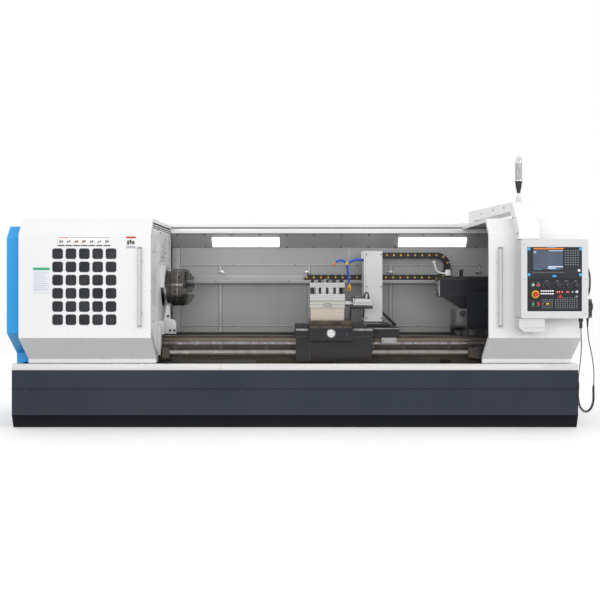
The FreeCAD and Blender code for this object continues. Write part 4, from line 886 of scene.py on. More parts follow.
def windowGasket(bm):
    rings = []
    for half, height in ((windowFrame["half"], 0.2), (windowFrame["half"], windowFrame["proud"]),
            (windowFrame["half"] - windowFrame["lip"], windowFrame["proud"]),
            (windowFrame["half"] - windowFrame["lip"], -7.5)):
        cut = windowFrame["cut"] * half / windowFrame["half"]
        outline = [(-half, cut - half), (cut - half, -half), (half - cut, -half), (half, cut - half),
                (half, half - cut), (half - cut, half), (cut - half, half), (-half, half - cut)]
        rings.append([bm.verts.new(Vector((a, b, height)) * milli) for a, b in outline])
    for low, high in zip(rings, rings[1:] + rings[:1]):
        for i in range(8):
            j = (i + 1) % 8
            bm.faces.new([low[i], low[j], high[j], high[i]])


gasketShape = template("windowGasket", windowGasket)
labels = {"strip": (-2018, -1564, 1578, 1663), "tall": (-2225, -2084, 1177, 1399),
        "small": (-1435, -1352, 1553, 1663)}


def dressLeftDoor():
    x0, x1, y0, y1, z0, z1 = extent("left_door")
    panes = extent("left_windows")
    step = ((panes[1] - panes[0] - 100) / 4, (panes[5] - panes[4] - 100) / 5)
    centres = [(panes[0] + 50 + c * step[0], panes[4] + 50 + r * step[1]) for r in range(6) for c in range(5)]
    repeat("windowGaskets", "gasket", "left_door", gasketShape, [((x, y0, z), front) for x, z in centres])
    a, b, low, high = labels["strip"]
    cell = (b - a) / 7
    blocks("signStrip", "paper", "left_door", [(a, b, y0 - 1.2, y0, low, high)], 0.4)
    marks = [(a + 6, a + 96, y0 - 1.7, y0 - 1.1, high - 13, high - 8)]
    blocks("signStripRed", "red", "left_door", marks, 0)
    ink = []
    for i in range(7):
        c = a + cell * (i + 0.5)
        ink += [(c - cell * 0.44, c + cell * 0.44, y0 - 1.7, y0 - 1.1, low + 3, low + 13)]
        ink += [(c - 14, c - 3, y0 - 1.7, y0 - 1.1, low + 30, low + 52 - 4 * (i % 3)),
                (c + 3, c + 14, y0 - 1.7, y0 - 1.1, low + 34 + 4 * (i % 2), low + 52)]
    ink.append((a + 110, b - 4, y0 - 1.7, y0 - 1.1, high - 11, high - 8))
    blocks("signStripMarks", "ink", "left_door", ink, 0)
    blocks("signStripSpots", "red", "left_door",
           [(a + cell * (i + 0.5) - 17 + 12 * j, a + cell * (i + 0.5) - 8 + 12 * j, y0 - 2, y0 - 1.1,
            low + 32 + 9 * j, low + 41 + 9 * j)
            for i in (2, 3) for j in (0, 1)], 0)
    a, b, low, high = labels["tall"]
    blocks("checkCard", "card", "left_door", [(a, b, y0 - 1, y0, low, high)], 0.4)
    blocks("checkCardHead", "greenCard", "left_door", [(a, b, y0 - 1.6, y0 - 0.9, high - 22, high)], 0)
    rows = [(a + 10, b - 10 - 14 * (i % 3), y0 - 1.4, y0 - 0.9, high - 42 - i * 16,
            high - 39 - i * 16) for i in range(11)]
    blocks("checkCardRows", "cardLine", "left_door", rows, 0)
    blocks("checkCardBoxes", "paper", "left_door", [(a + 12, b - 12, y0 - 1.5, y0 - 0.9, low + 8, low + 22)], 0)
    a, b, low, high = labels["small"]
    blocks("doorCard", "paper", "left_door", [(a, b, y0 - 1.2, y0, low + 8, high)], 0.4)
    blocks("doorCardHead", "red", "left_door", [(a, b, y0 - 1.8, y0 - 1.1, high - 16, high)], 0)
    blocks("doorCardFoot", "cardLine", "left_door", [(a + 2, b - 2, y0 - 1.6, y0 - 1.1, low + 10, low + 30)], 0)
    blocks("doorCardMark", "ink", "left_door",
           [(a + 10, a + 26, y0 - 1.8, y0 - 1.1, high - 70, high - 34),
            (a + 30, a + 48, y0 - 1.8, y0 - 1.1, high - 62, high - 28),
            (a + 52, a + 72, y0 - 1.8, y0 - 1.1, high - 66, high - 38)], 0)
    repeat("doorEdgeScrews", "blackSteel", "left_door", screwShapes["small"],
           [((x1, y0 + 17, z), right) for z in (1539, 1199, 868)] + [((x0, y0 + 17, z), left) for z in (1539, 1199,
            868)])
    blocks("doorSill", "white", "left_door", [(x0 + 2, x1 - 2, y0 + 308, y0 + 313, z0 + 1, z0 + 10)], 1)


dressLeftDoor()


def dressHandles():
    for node, body in (("left_handle", "left_door"), ("right_handle", "right_door")):
        x0, x1, y0, y1, z0, z1 = extent(node)
        middle = (x0 + x1) / 2
        blocks(node + "Caps", "handleCap", body,
               [(x0 - 1, x1 + 1, y0 - 1, y0 + 31, z, z + 16) for z in (z0 - 1, z1 - 15)], 3)
        for i, z in enumerate((z0 + 113, z1 - 121)):
            turned(node + "Collar%d" % i, "handle", body, (middle, y1 - 8, z), "Y",
                   [(0, 17), (1, 19), (7, 19), (8, 17)], 24)
        blocks(node + "Groove", "handleCap", body, [(x1 - 6, x1 - 4, y0 - 0.4, y0 + 1, z0 + 18, z1 - 18)], 0)


dressHandles()
print("base, covers and doors dressed")


def dressHeadPlate():
    x0, x1, y0, y1, z0, z1 = extent("headstock_cover")
    face, axisY, axisZ = x1, *[(extent("chuck_body")[i] + extent("chuck_body")[i + 1]) / 2 for i in (2, 4)]
    top = extent("left_door")[5]
    plate("roofRail", "pale", "root",
          [(-996, 1668), (-884, top - 41), (338, top - 41), (338, z1 + 1), (-787, z1 + 1), (-898, 1657)],
          "X", face - 4, face)
    for i, (a, b) in enumerate(((12, 20), (29, 36))):
        plate("railSlot%d" % i, "ink", "root",
              [(-860, top - 41 - a), (330, top - 41 - a), (330, top - 41 - b), (-860, top - 41 - b)],
              "X", face - 1, face + 2.5)
    blocks("headPlateTrims", "pale", "root", [
        (face, face + 6, -600, -578, 700, z1 - 40), (face, face + 5, 300, 338, 600, z1 - 60),
        (face, face + 4, -330, -90, 1500, 1508), (face, face + 9, -470, -150, 1466, 1640),
        (face, face + 4, -330, -90, 1440, 1446)], 1.5)
    blocks("headPlateGrooves", "seam", "root", [
        (face, face + 1, -574, -568, 700, z1 - 40), (face, face + 1, 292, 297, 600, z1 - 60),
        (face + 9, face + 9.6, -440, -180, 1500, 1504)], 0)
    spots = [(-560, 1740), (-380, 1725), (-60, 1672), (240, 1660), (-560, 1545), (-60, 1548), (-590, 1372),
            (-590, 1040),
            (-820, 1540), (-820, 930), (-640, 640), (180, 1300), (180, 1000), (-300, 760), (60, 760)]
    repeat("headPlateScrews", "blackSteel", "root", screwShapes["middle"], [((face, y, z), right) for y, z in spots])
    bm = bmesh.new()
    steps, outer, inner = 20, 218, 166
    arc = [(math.cos(math.pi * i / steps), math.sin(math.pi * i / steps)) for i in range(steps + 1)]
    outline = [(axisY + c * outer, axisZ + s * outer) for c, s in arc] + [(axisY + c * inner, axisZ + s * inner) for c, s in reversed(arc)]
    lowFaces = [bm.verts.new(Vector((face, a, b)) * milli) for a, b in outline]
    highFaces = [bm.verts.new(Vector((face + 34, a, b)) * milli) for a, b in outline]
    count = len(outline)
    for i in range(count):
        j = (i + 1) % count
        bm.faces.new([lowFaces[i], lowFaces[j], highFaces[j], highFaces[i]])
    for i in range(steps):
        a, b = i, count - 1 - i
        bm.faces.new([lowFaces[a], lowFaces[a + 1], lowFaces[b - 1], lowFaces[b]])
        bm.faces.new([highFaces[b], highFaces[b - 1], highFaces[a + 1], highFaces[a]])
    finishPiece("spindleGuard", bm, "pale", "root")
    repeat("spindleGuardScrews", "blackSteel", "root", screwShapes["middle"],
           [((face + 34, axisY + 192 * math.cos(t), axisZ + 192 * math.sin(t)), right) for t in (0.25, 1.2, 1.95,
            2.9)])
    blocks("bedEndBox", "pale", "root",
           [(face, face + 46, -505, -250, 800, 925), (face, face + 34, -610, -522, 620, 880)], 5)
    plate("bedEndBracket", "pale", "root",
          [(-1205, 800), (-1095, 800), (-1095, 900), (-1108, 925), (-1150, 938), (-1156, 1055), (-1182, 1062),
           (-1192, 1000), (-1205, 930)],
          "Y", -350, -326, 2)
    repeat("bedEndBolts", "blackSteel", "root", screwShapes["large"],
           [((-1168, -350, 962), front), ((-1150, -350, 830), front), ((-1110, -350, 830), front)])


dressHeadPlate()


def dressChuck():
    x0, x1, y0, y1, z0, z1 = extent("chuck_body")
    centre, radius = (0, (y0 + y1) / 2, (z0 + z1) / 2), (y1 - y0) / 2
    start = x1 - 130
    for i, (at, wide, proud, finish) in enumerate(((10, 2, 0.4, "ink"), (62, 3, 0.5, "ink"), (66, 7, 0.7, "ground"),
            (100, 2, 0.4, "ink"))):
        turned("chuckRing%d" % i, finish, "spindle", centre, "X",
               [(start + at, radius - 6), (start + at, radius + proud), (start + at + wide, radius + proud),
                (start + at + wide, radius - 6)], 72)
    turned("chuckBoreRing", "steel", "spindle", centre, "X",
           [(x1 - 40, 50), (x1 - 40, 52.2), (x1 - 34, 52.2), (x1 - 34, 50)], 48)
    turned("chuckFaceRing", "ink", "spindle", centre, "X",
           [(x1 - 1, 128), (x1 - 1, 130), (x1 + 0.4, 130), (x1 + 0.4, 128)], 72)
    turnAngle = math.radians(12)
    places, ring = [], []
    for q in range(4):
        a = turnAngle + math.pi / 2 * q
        places.append((x1, centre[1], centre[2], a))
        for lean in (-0.36, 0.36, 0.78):
            b = a + lean
            ring.append(((x1, centre[1] - 148 * math.sin(b), centre[2] + 148 * math.cos(b)), right))
        b = a + math.pi / 4
        ring.append(((start + 84, centre[1] - radius * math.sin(b), centre[2] + radius * math.cos(b)),
                (0, -math.sin(b), math.cos(b))))
    repeat("chuckScrews", "blackSteel", "spindle", screwShapes["large"], ring, size=0.9)
    back = extent("chuck_body")[0]
    repeat("chuckBackScrews", "blackSteel", "spindle", screwShapes["middle"],
           [((back + 34, centre[1] - 162 * math.sin(t), centre[2] + 162 * math.cos(t)), left)
            for t in (math.pi / 4 * i for i in range(8))])
    for q in range(4):
        name, a = "jaw_%d" % (q + 1), turnAngle + math.pi / 2 * q
        outward = Vector((0, -math.sin(a), math.cos(a)))
        side = Vector((0, math.cos(a), math.sin(a)))
        middle = Vector((0, centre[1], centre[2]))
        teeth = []
        for distance, height in ((89, 75), (121, 52), (150, 28)):
            spot = middle + outward * distance
            teeth.append(((x1 + height, spot.y, spot.z), right))
        repeat(name + "Bolts", "blackSteel", name, screwShapes["middle"], teeth)
        grip = []
        for i in range(8):
            spot = middle + outward * 72.2
            grip.append((tuple(Vector((x1 + 8 + i * 8, 0, 0)) + spot), tuple(-outward), tuple(side)))
        repeat(name + "Grip", "chuck", name, toothShape, grip)


def jawTooth(bm):
    addPlate(bm, [(-3, -0.5), (3, -0.5), (0, 2.6)], "X", -20, 20)


toothShape = template("jawTooth", jawTooth)
dressChuck()
print("headstock and chuck dressed")


wall = {"band": 1443, "lowBand": 832, "ribs": (-753, 134, 951, 1838), "screwStep": 615,
        "panelStep": 271, "fittings": (-734, 114, 956, 1817), "fittingHeight": 1373}


def dressWall():
    x0, x1, y0, y1, z0, z1 = extent("back_guard")
    face, roof = y1 - 4, y0 if y0 > 340 else 343
    start, end = x0, extent("right_door")[0] + 240
    high, panelTop = 1614, 1747
    blocks("wallBands", "wallLight", "root", [
        (start + 80, end, face - 4, face, wall["band"] - 7, wall["band"] + 7),
        (start + 80, end, face - 3, face, wall["lowBand"] - 5, wall["lowBand"] + 5)], 1.2)
    blocks("wallBandShadows", "seam", "root", [
        (start + 80, end, face - 1, face, wall["band"] - 10, wall["band"] - 7),
        (start + 80, end, face - 1, face, wall["lowBand"] - 8, wall["lowBand"] - 5)], 0)
    ribs, edges = [], []
    for x in wall["ribs"]:
        for low, top in ((600, wall["lowBand"] - 8), (wall["lowBand"] + 5, 1280), (1352, wall["band"] - 10)):
            ribs.append((x - 15, x + 15, face - 5, face, low, top))
            edges += [(x - 19, x - 15, face - 1, face, low, top), (x + 15, x + 19, face - 1, face, low, top)]
    ribs += [(535 - 12, 535 + 12, face - 5, face, wall["band"] + 7, high),
            (start, start + 78, face - 7, face, 600, high)]
    edges += [(start + 78, start + 81, face - 1, face, 600, high)]
    blocks("wallRibs", "wallLight", "root", ribs, 1.2)
    blocks("wallRibShadows", "seam", "root", edges, 0)
    xs = spread(-617, 1843, wall["screwStep"])
    screws = [((x, face - 4, wall["band"]), front) for x in xs] + [((x, face - 3, wall["lowBand"]),
        front) for x in xs]
    screws += [((start + 34, face - 7, z), front) for z in (1490, 1120, 760)]
    repeat("wallScrews", "blackSteel", "root", screwShapes["small"], screws)
    slope = Vector((0, -133, -140)).normalized()
    steps = spread(-1171, 1810, wall["panelStep"])
    repeat("panelScrews", "blackSteel", "root", screwShapes["middle"],
           [((x, 352, 1738.4), tuple(slope)) for x in steps] + [((x, 474, 1622.6), tuple(slope)) for x in steps])
    blocks("fasciaRails", "white", "root", [
        (start, end, roof - 16, roof, 1812, 1845), (start, end, roof - 20, roof, panelTop + 6, 1800)], 2)
    blocks("fasciaGaps", "seam", "root",
           [(start, end, roof - 2, roof, 1801, 1811), (start, end, roof - 3, roof, panelTop, panelTop + 5)], 0)
    for i, x in enumerate(wall["fittings"]):
        turned("wallFitting%d" % i, "chrome", "root", (x, face, wall["fittingHeight"]), "Y",
               [(0, 16), (-6, 16), (-7, 9), (-26, 9), (-28, 13), (-40, 13), (-42, 10)], 20)
        turned("wallFittingCross%d" % i, "chrome", "root", (x - 34, face - 33, wall["fittingHeight"] + 4),
               (1, 0, -0.2),
               [(0, 0), (0, 6), (64, 6), (64, 0)], 12)


dressWall()


def dressShelf():
    x0, x1 = -1003, 1430
    z = extent("chain_lower")[4] - 5
    blocks("channelBack", "lip", "root", [(x0, x1, 479 - 4, 479, z + 4, z + 58)], 1)
    blocks("channelLip", "lip", "root", [(x0, x1, 362, 365, z - 10, z + 8)], 1)
    repeat("channelScrews", "blackSteel", "root", screwShapes["small"],
           [((x, 362, z - 1), front) for x in spread(-790, 1380, 790)])


dressShelf()


def dressLamps():
    slope = Vector((0, -133, -140)).normalized()
    across = Vector((0, 140, -133)).normalized()
    middle = Vector((0, 413, 1680.5))
    for i, (a, b) in enumerate(((-829, -160), (1021, 1697))):
        points = []
        for x, s in ((a, -1), (a, 1), (b, 1), (b, -1)):
            points.append(Vector((x, 0, 0)) + middle + across * 60 * s + slope * 3)
        bm = bmesh.new()
        for p, q in zip(points, points[1:] + points[:1]):
            run = q - p
            addTurned(bm, p, run, [(0, 0), (0, 5), (run.length, 5), (run.length, 0)], 10)
        finishPiece("lampRim%d" % i, bm, "handleCap", "root")


dressLamps()

chain = {"pitch": 71.5, "high": 56, "wide": 80, "dot": 9}


def linkShape(bm):
    half, high = chain["pitch"] / 2 - 1.2, chain["high"] / 2
    outline = [(-half, -high + 9), (-half + 9, -high), (half - 9, -high), (half, -high + 9),
            (half, high - 9), (half - 9, high), (-half + 9, high), (-half, high - 9)]
    for low, top in ((-chain["wide"] / 2, -chain["wide"] / 2 + 7), (chain["wide"] / 2 - 7, chain["wide"] / 2)):
        addPlate(bm, outline, "Z", low, top)
    inside = chain["wide"] / 2 - 7
    for x in (-16, 10):
        for z in (-high + 1, high - 6):
            addPlate(bm, [(x, z), (x + 12, z), (x + 12, z + 5), (x, z + 5)], "Z", -inside, inside)


def dotShape(bm):
    addTurned(bm, (0, 0, 0), "Z",
            [(-1, 0), (-1, chain["dot"]), (1.4, chain["dot"]), (1.8, chain["dot"] - 2), (1.8, 0)], 14)


links = template("chainLink", linkShape)
dots = template("chainDot", dotShape)


def layChain(name, body, places):
    pieces = [repeat(name, "black", body, links, places)]
    shifted = []
    for place, facing, along in places:
        spot = Vector(place) + Vector(facing) * (chain["wide"] / 2 - 0.5) - Vector(along).normalized() * chain["pitch"] / 2
        shifted.append((tuple(spot), facing, along))
    pieces.append(repeat(name + "Dots", "dot", body, dots, shifted))
    return pieces


def cableChain():
    low, high = extent("chain_lower"), extent("chain_upper")
    bend = extent("chain_bend")
    y, bottom, top = (low[2] + low[3]) / 2, (low[4] + low[5]) / 2, (high[4] + high[5]) / 2
    centre, radius, pitch = bend[0], (top - bottom) / 2, chain["pitch"]
    count = int(round((centre - low[0]) / pitch))
    step = (centre - low[0]) / count
    lower = [((low[0] + step * (i + 0.5), y, bottom), front, right) for i in range(count)]
    runStart = extent("column_cover")[1]
    count = int(round((centre - runStart) / pitch))
    step = (centre - runStart) / count
    upper = [((runStart + step * (i + 0.5), y, top), front, left) for i in range(count)]
    count = int(round(math.pi * radius / pitch))
    curved = []
    for i in range(count):
        a = -math.pi / 2 + math.pi * (i + 0.5) / count
        curved.append(((centre + radius * math.cos(a), y, (bottom + top) / 2 + radius * math.sin(a)), front,
                (-math.sin(a), 0, math.cos(a))))
    for piece in layChain("chainLowerLinks", None, lower):
        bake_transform(piece)
        lowerPiece = piece if "Dots" not in piece.name else lowerPiece
    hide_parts("chain_lower")
    bendPieces = layChain("chainBendLinks", "chain_bend", curved)
    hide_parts("chain_bend")
    upperPieces = layChain("chainUpperLinks", None, upper)
    for piece in upperPieces:
        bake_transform(piece)
    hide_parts("chain_upper")
    blocks("chainEnd", "blackSteel", "root",
           [(low[0] - 24, low[0] + 6, low[2] + 4, low[3] - 4, low[4] - 1, low[4] + 30)], 2)
    repeat("chainEndScrews", "chrome", "root", screwShapes["small"],
           [((low[0] - 14, low[2] + 18 + 40 * i, low[4] + 30), up) for i in (0, 1)])


cableChain()
print("back guard and cable chain dressed")

bedLook = {"boltStep": 240}


def dressBed():
    x0, x1, y0, y1, z0, z1 = extent("bed")
    head = extent("headstock_cover")[1]
    railFront, railTop = -512, z1
    end = x1 - 4
    blocks("wayUpperBand", "wayDark", "root",
           [(head + 2, end, railFront - 1.2, railFront, railTop - 20, railTop - 1)], 0.3)
    blocks("wayLowerBand", "brown", "root", [(head + 2, end, railFront - 1.6, railFront, railTop - 51, railTop - 22)],
           0.3)
    blocks("wayKeeper", "dullSteel", "root", [(head + 2, end, -505, -495, railTop - 82, railTop - 55)], 2)
    blocks("bedFrontFoot", "wayDark", "root", [(head + 2, end, -507, -500, 601, 640)], 1)
    repeat("keeperBolts", "blackSteel", "root", screwShapes["small"],
           [((x, -505, railTop - 68), front) for x in spread(head + 90, end - 80, bedLook["boltStep"])])
    repeat("wayBolts", "blackSteel", "root", screwShapes["small"],
           [((x, -467, railTop - 2.8), up) for x in spread(head + 100, -60, 120)], size=0.9)
    ribs = [(x - 16, x + 16, -500, -494, 602, 700) for x in spread(head + 150, end - 150, 430)]
    blocks("bedRibs", "cast", "root", ribs, 3)


dressBed()


def dressCarriage():
    x0, x1, y0, y1, z0, z1 = extent("saddle")
    body, noseFace = "carriage", -690
    blocks("saddleWipers", "rubber", body, [
        (x0 - 3, x0 + 128, -646, -560, 864, 905), (x0 - 8, x0, -530, -405, 794, 850),
        (x0 - 8, x0, 40, 160, 794, 850)], 3)
    blocks("saddleBands", "dullSteel", body,
           [(x0 + 6, 122, -643.5, -639, 842, 861), (513, 688, -643.5, -639, 842, 861)], 1)
    blocks("saddleCover", "blackSteel", body, [(513, 645, -620, -60, 862, 893), (513, 870, -360, -60, 862, 890)], 3)
    blocks("noseSeams", "seam", body,
           [(126, 509, noseFace - 0.8, noseFace, 866, 869), (132, 134, -641, -639.5, 566, 752)], 0)
    blocks("noseCap", "oilyBrown", body, [(128, 507, noseFace - 2, noseFace + 30, 870, 888.5)], 1.5)
    turned("plugRim", "dullSteel", body, (319, -698, 820), "Y", [(4, 40), (-1, 40), (-3, 37), (-3, 32)], 36)
    turned("plugFace", "chrome", body, (319, -698, 820), "Y", [(0, 33), (-2, 33), (-5, 29), (-5, 0)], 36)
    marks = [(319 + 18 * math.cos(t), 820 + 18 * math.sin(t)) for t in (0.5, 2.6, 4.7)]
    repeat("plugMarks", "blackSteel", body, screwShapes["small"], [((x, -703, z), front) for x, z in marks], size=0.8)
    turned("nosePort", "ink", body, (459, noseFace, 807), "Y", [(0, 11), (-1.5, 11), (-1.5, 7), (-0.6, 0)], 20)
    repeat("noseScrews", "blackSteel", body, screwShapes["middle"],
           [((x, noseFace, z), front) for x, z in ((145, 770), (490, 770), (145, 850), (490, 850))])
    ax0, ax1, ay0, ay1, az0, az1 = extent("apron")
    blocks("apronSeams", "seam", body,
           [(ax0 + 122, ax0 + 125, ay0 - 0.8, ay0, az0 + 2, 752), (ax0, ax1, ay0 - 0.8, ay0, 786, 789)], 0)
    blocks("apronPlate", "dark", body, [(ax0 + 128, ax1 - 6, ay0 - 3, ay0, az0 + 8, 750)], 1.5)
    repeat("apronScrews", "blackSteel", body, screwShapes["middle"],
           [((x, ay0 - 3, z), front) for x in (ax0 + 146, ax1 - 24) for z in (az0 + 28, 728)]
           + [((ax0 + 30 + 62 * i, ay0, z), front) for i in (0, 1) for z in (az0 + 30, 755)])
    blocks("wingFront", "dark", body, [(700, 938, -560, -430, 776, 861)], 3)
    blocks("wingEdge", "dullSteel", body, [(703, 936, -562, -558, 853, 860.5)], 0.8)
    blocks("wingBlock", "lip", body, [(776, 912, -556, -522, 726, 775)], 4)
    blocks("wingSmall", "oilyBrown", body, [(706, 764, -552, -522, 735, 774)], 4)
    repeat("wingBolts", "blackSteel", body, screwShapes["small"],
           [((x, -560, 800), front) for x in (715, 924)] + [((x, -556, 750), front) for x in (790, 898)])
    bar("oilPipe", "brass", body, [(712, -552, 745), (690, -650, 700), (705, -600, 660), (720, -540, 640)], 3.2)
    sx0, sx1, sy0, sy1, sz0, sz1 = extent("cross_slide")
    repeat("slideBolts", "blackSteel", "cross_slide", screwShapes["small"],
           [((x, sy0, (sz0 + sz1) / 2), front) for x in spread(sx0 + 20, sx1 - 20, 86)])


dressCarriage()


def dressColumn():
    x0, x1, y0, y1, z0, z1 = extent("column_cover")
    cx0, cx1, faceY = 652, 828, -18
    body = "carriage"
    places = [((x, faceY, z), front) for x in (cx0 + 26, cx1 - 11) for z in (928, 1230, 1536)]
    places += [((cx1, y, z), right) for y in (20, 300) for z in (940, 1240, 1540)]
    places += [((cx0, y, z), left) for y in (20, 300) for z in (940, 1240, 1540)]
    repeat("columnScrews", "screwBrown", body, screwShapes["middle"], places)
    blocks("columnLip", "pale", body, [(cx0 - 22, cx0, -4, 90, 1494, 1566)], 4)
    blocks("columnSeams", "seam", body,
           [(cx0 + 14, cx0 + 15.5, faceY - 0.6, faceY, 905, 1566), (x0, x1, y0 - 0.6, y0, 896, 898.5)], 0)
    repeat("columnFootBolts", "blackSteel", body, screwShapes["large"],
           [((x, -8, 898), up) for x in (cx0 - 1, cx1 + 1)] + [((x, 150, 898), up) for x in (cx0 - 1, cx1 + 1)],
           size=0.9)
    plate("columnBrace", "blackSteel", body, [(cx1 + 1, 1000), (cx1 + 1, 965), (936, 863), (972, 863)], "Y", -12, 14,
          2)


dressColumn()
print("bed and carriage dressed")

tower = {"step": 67, "inset": 24, "screwRadius": 11}


def clampScrew(bm):
    r = tower["screwRadius"]
    addTurned(bm, (0, 0, 0), "Z", [(0, 7), (6, r), (54, r), (56, r * 0.8), (56, 0)], 14)
    addTurned(bm, (0, 0, 0), "Z", [(95, r * 0.9), (96, r + 2), (127, r + 2), (130, r)], 12)


clampShape = template("clampScrew", clampScrew)


def dressTower():
    x0, x1, y0, y1, z0, z1 = extent("turret_head")
    xm, ym, half = (x0 + x1) / 2, (y0 + y1) / 2, (x1 - x0) / 2
    places, low = [], 1168
    for k in range(-2, 3):
        for sx, sy in ((0, -1), (0, 1), (-1, 0), (1, 0)):
            x = xm + (k * tower["step"] if sx == 0 else sx * (half - tower["inset"]))
            y = ym + (k * tower["step"] if sy == 0 else sy * (half - tower["inset"]))
            if sx == 0 or abs(k) < 2:
                places.append(((x, y, low), up))
    repeat("clampScrews", "blackSteel", "turret", clampShape, places)
    rims = []
    for z, wide, body in ((1237, 3, "turret"), (1252, 2, "turret"), (1133, 2, "turret"), (1148, 1.5, "turret"),
            (1098, 3, "cross_slide"), (1085, 1.5, "cross_slide"), (1066, 3, "cross_slide"),
            (1042, 1.5, "cross_slide")):
        rims.append((z, wide, body))
    for body in ("turret", "cross_slide"):
        specs = []
        for z, wide, owner in rims:
            if owner == body:
                specs += [(x0 - 0.6, x1 + 0.6, y0 - 0.6, y0 + 1, z, z + wide),
                        (x0 - 0.6, x1 + 0.6, y1 - 1, y1 + 0.6, z, z + wide),
                        (x0 - 0.6, x0 + 1, y0 + 1, y1 - 1, z, z + wide),
                        (x1 - 1, x1 + 0.6, y0 + 1, y1 - 1, z, z + wide)]
        blocks(body + "Lines", "seam", body, specs, 0)
    oval = [(xm + 3 + 38 * math.copysign(abs(math.cos(t)) ** 0.6, math.cos(t)),
            1065 + 15 * math.copysign(abs(math.sin(t)) ** 0.6, math.sin(t)))
            for t in (2 * math.pi * (i + 0.5) / 28 for i in range(28))]
    inner = [(xm + 3 + (a - xm - 3) * 0.88, 1065 + (b - 1065) * 0.78) for a, b in oval]
    plate("towerOvalRim", "seam", "cross_slide", oval, "Y", y0 - 1.6, y0 + 0.5)
    plate("towerOval", "beige", "cross_slide", inner, "Y", y0 - 2.2, y0 - 1)
    turned("towerNut", "dullSteel", "turret", (xm, ym, z1 - 1), "Z", [(0, 30), (1, 30), (12, 30), (14, 27), (14, 0)],
           6)
    turned("towerStud", "blackSteel", "turret", (xm, ym, z1 + 12), "Z", [(0, 12), (10, 12), (12, 10), (12, 0)], 20)
    mx0, mx1, my0, my1, mz0, mz1 = extent("turret_motor")
    centre = (0, (my0 + my1) / 2, 1075)
    for i, (a, b, r, finish) in enumerate(((529, 533, 53, "blackSteel"), (543, 548, 52.6, "seam"),
            (mx1 - 12, mx1 + 2, 47, "blackSteel"),
            (452, 462, 33, "dullSteel"))):
        turned("motorRing%d" % i, finish, "cross_slide", centre, "X",
               [(a, 0), (a, r - 1), (a + 1, r), (b - 1, r), (b, r - 1), (b, 0)], 48)
    rods = []
    for t in (0.6, 2.5, 3.8, 5.6):
        rods.append(((549, centre[1] + 46 * math.cos(t), centre[2] + 46 * math.sin(t)), left))
    repeat("motorBolts", "blackSteel", "cross_slide", screwShapes["middle"],
           [((529, p[1], p[2]), left) for p, _ in rods])
    blocks("motorFins", "dullSteel", "cross_slide",
           [(560, mx1 - 16, centre[1] - 1.5, centre[1] + 1.5, centre[2] + 47, centre[2] + 51)]
           + [(560, mx1 - 16, centre[1] - 50, centre[1] - 46, centre[2] + z, centre[2] + z + 3) for z in (-12, -2,
            8)], 0.6)
    turned("motorGland", "black", "cross_slide", (mx1 - 34, centre[1], centre[2] + 46), "Z",
           [(0, 12), (10, 12), (11, 9), (22, 9), (23, 7), (23, 0)], 18)
    conduit = bar("motorConduit", "rubber", None,
            [(mx1 - 34, centre[1], 1142), (mx1 - 34, centre[1] + 8, 1170), (mx1 - 50, centre[1] + 90, 1180),
            (mx1 - 60, centre[1] + 180, 1150), (mx1 - 62, -30, 1040),
            (mx1 - 62, -28, 934)], 7)
    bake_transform(conduit)
    bar("towerPipe", "black", "cross_slide",
        [(512, -300, 1046), (512, -302, 1000), (510, -304, 950), (508, -306, 928)], 9)


dressTower()

hose = {"bead": 14}


def bead(bm):
    addTurned(bm, (0, 0, 0), "Z", [(-7.5, 7), (-6, 11), (0, 12), (3, 11), (6, 8), (7.5, 7)], 14)


beadShape = template("hoseBead", bead)


def along(line, step):
    runs = [(b - a).length for a, b in zip(line, line[1:])]
    total = sum(runs)
    count, result, k, gone = max(int(round(total / step)), 1), [], 0, 0.0
    for i in range(count):
        place = total * (i + 0.5) / count
        while k < len(runs) - 1 and gone + runs[k] < place:
            gone += runs[k]
            k += 1
        run = line[k + 1] - line[k]
        result.append((line[k] + run * ((place - gone) / max(runs[k], 1e-9)), run.normalized()))
    return result


def coolantHose():
    body, wye = "carriage", (490, -40, 1452)
    runs = {
        "supply": [(652, 30, 1486), (625, 28, 1488), (590, 12, 1489), (540, -20, 1478), wye],
        "spray": [wye, (462, -46, 1472), (434, -52, 1482), (404, -62, 1476), (372, -74, 1452)],
        "drop": [wye, (493, -40, 1420), (500, -40, 1350), (507, -40, 1290), (512, -40, 1240)],
    }
    for name, points in runs.items():
        line = routeLine([Vector(p) * milli for p in points])
        places = [(tuple(p / milli), tuple(d), (0, 1, 0)) for p, d in along(line, hose["bead"] * milli)]
        piece = repeat("hose" + name.capitalize(), "hoseBlue", body, beadShape, places)
        if name == "supply":
            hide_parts("coolant_hose")
    turned("hoseWye", "yellow", body, wye, (0.1, 0, -1), [(-16, 12), (-14, 15), (6, 16), (16, 12), (18, 9), (18, 0)],
           20)
    turned("hoseElbow", "black", body, (652, 30, 1486), "X",
           [(2, 0), (2, 17), (-6, 17), (-10, 12), (-18, 12), (-18, 0)], 18)
    turned("hoseTip", "tipOrange", body, (376, -73, 1455), (-0.72, -0.2, -0.66),
           [(-6, 0), (-6, 12), (6, 13), (14, 11), (32, 7), (34, 5), (34, 0)], 18)
    blocks("tapBody", "yellow", body, [(496, 528, -54, -26, 1192, 1236)], 5)
    turned("tapCollar", "yellow", body, (512, -40, 1236), "Z", [(0, 14), (8, 14), (10, 11), (14, 11)], 20)
    turned("tapFitting", "dullSteel", body, (512, -40, 1192), "Z",
           [(0, 12), (-10, 12), (-12, 8), (-34, 8), (-36, 11), (-46, 11), (-48, 7), (-48, 0)], 18)
    turned("tapDot", "red", "coolant_tap", (512, -66, 1215), "Y", [(0, 7.5), (-2, 7.5), (-4, 6), (-4, 0)], 18)
    blocks("tapStandoff", "dullSteel", body, [(502, 522, -50, 110, 1120, 1144), (502, 652, 96, 116, 1122, 1142)], 4)


coolantHose()
print("tool post and coolant line dressed")

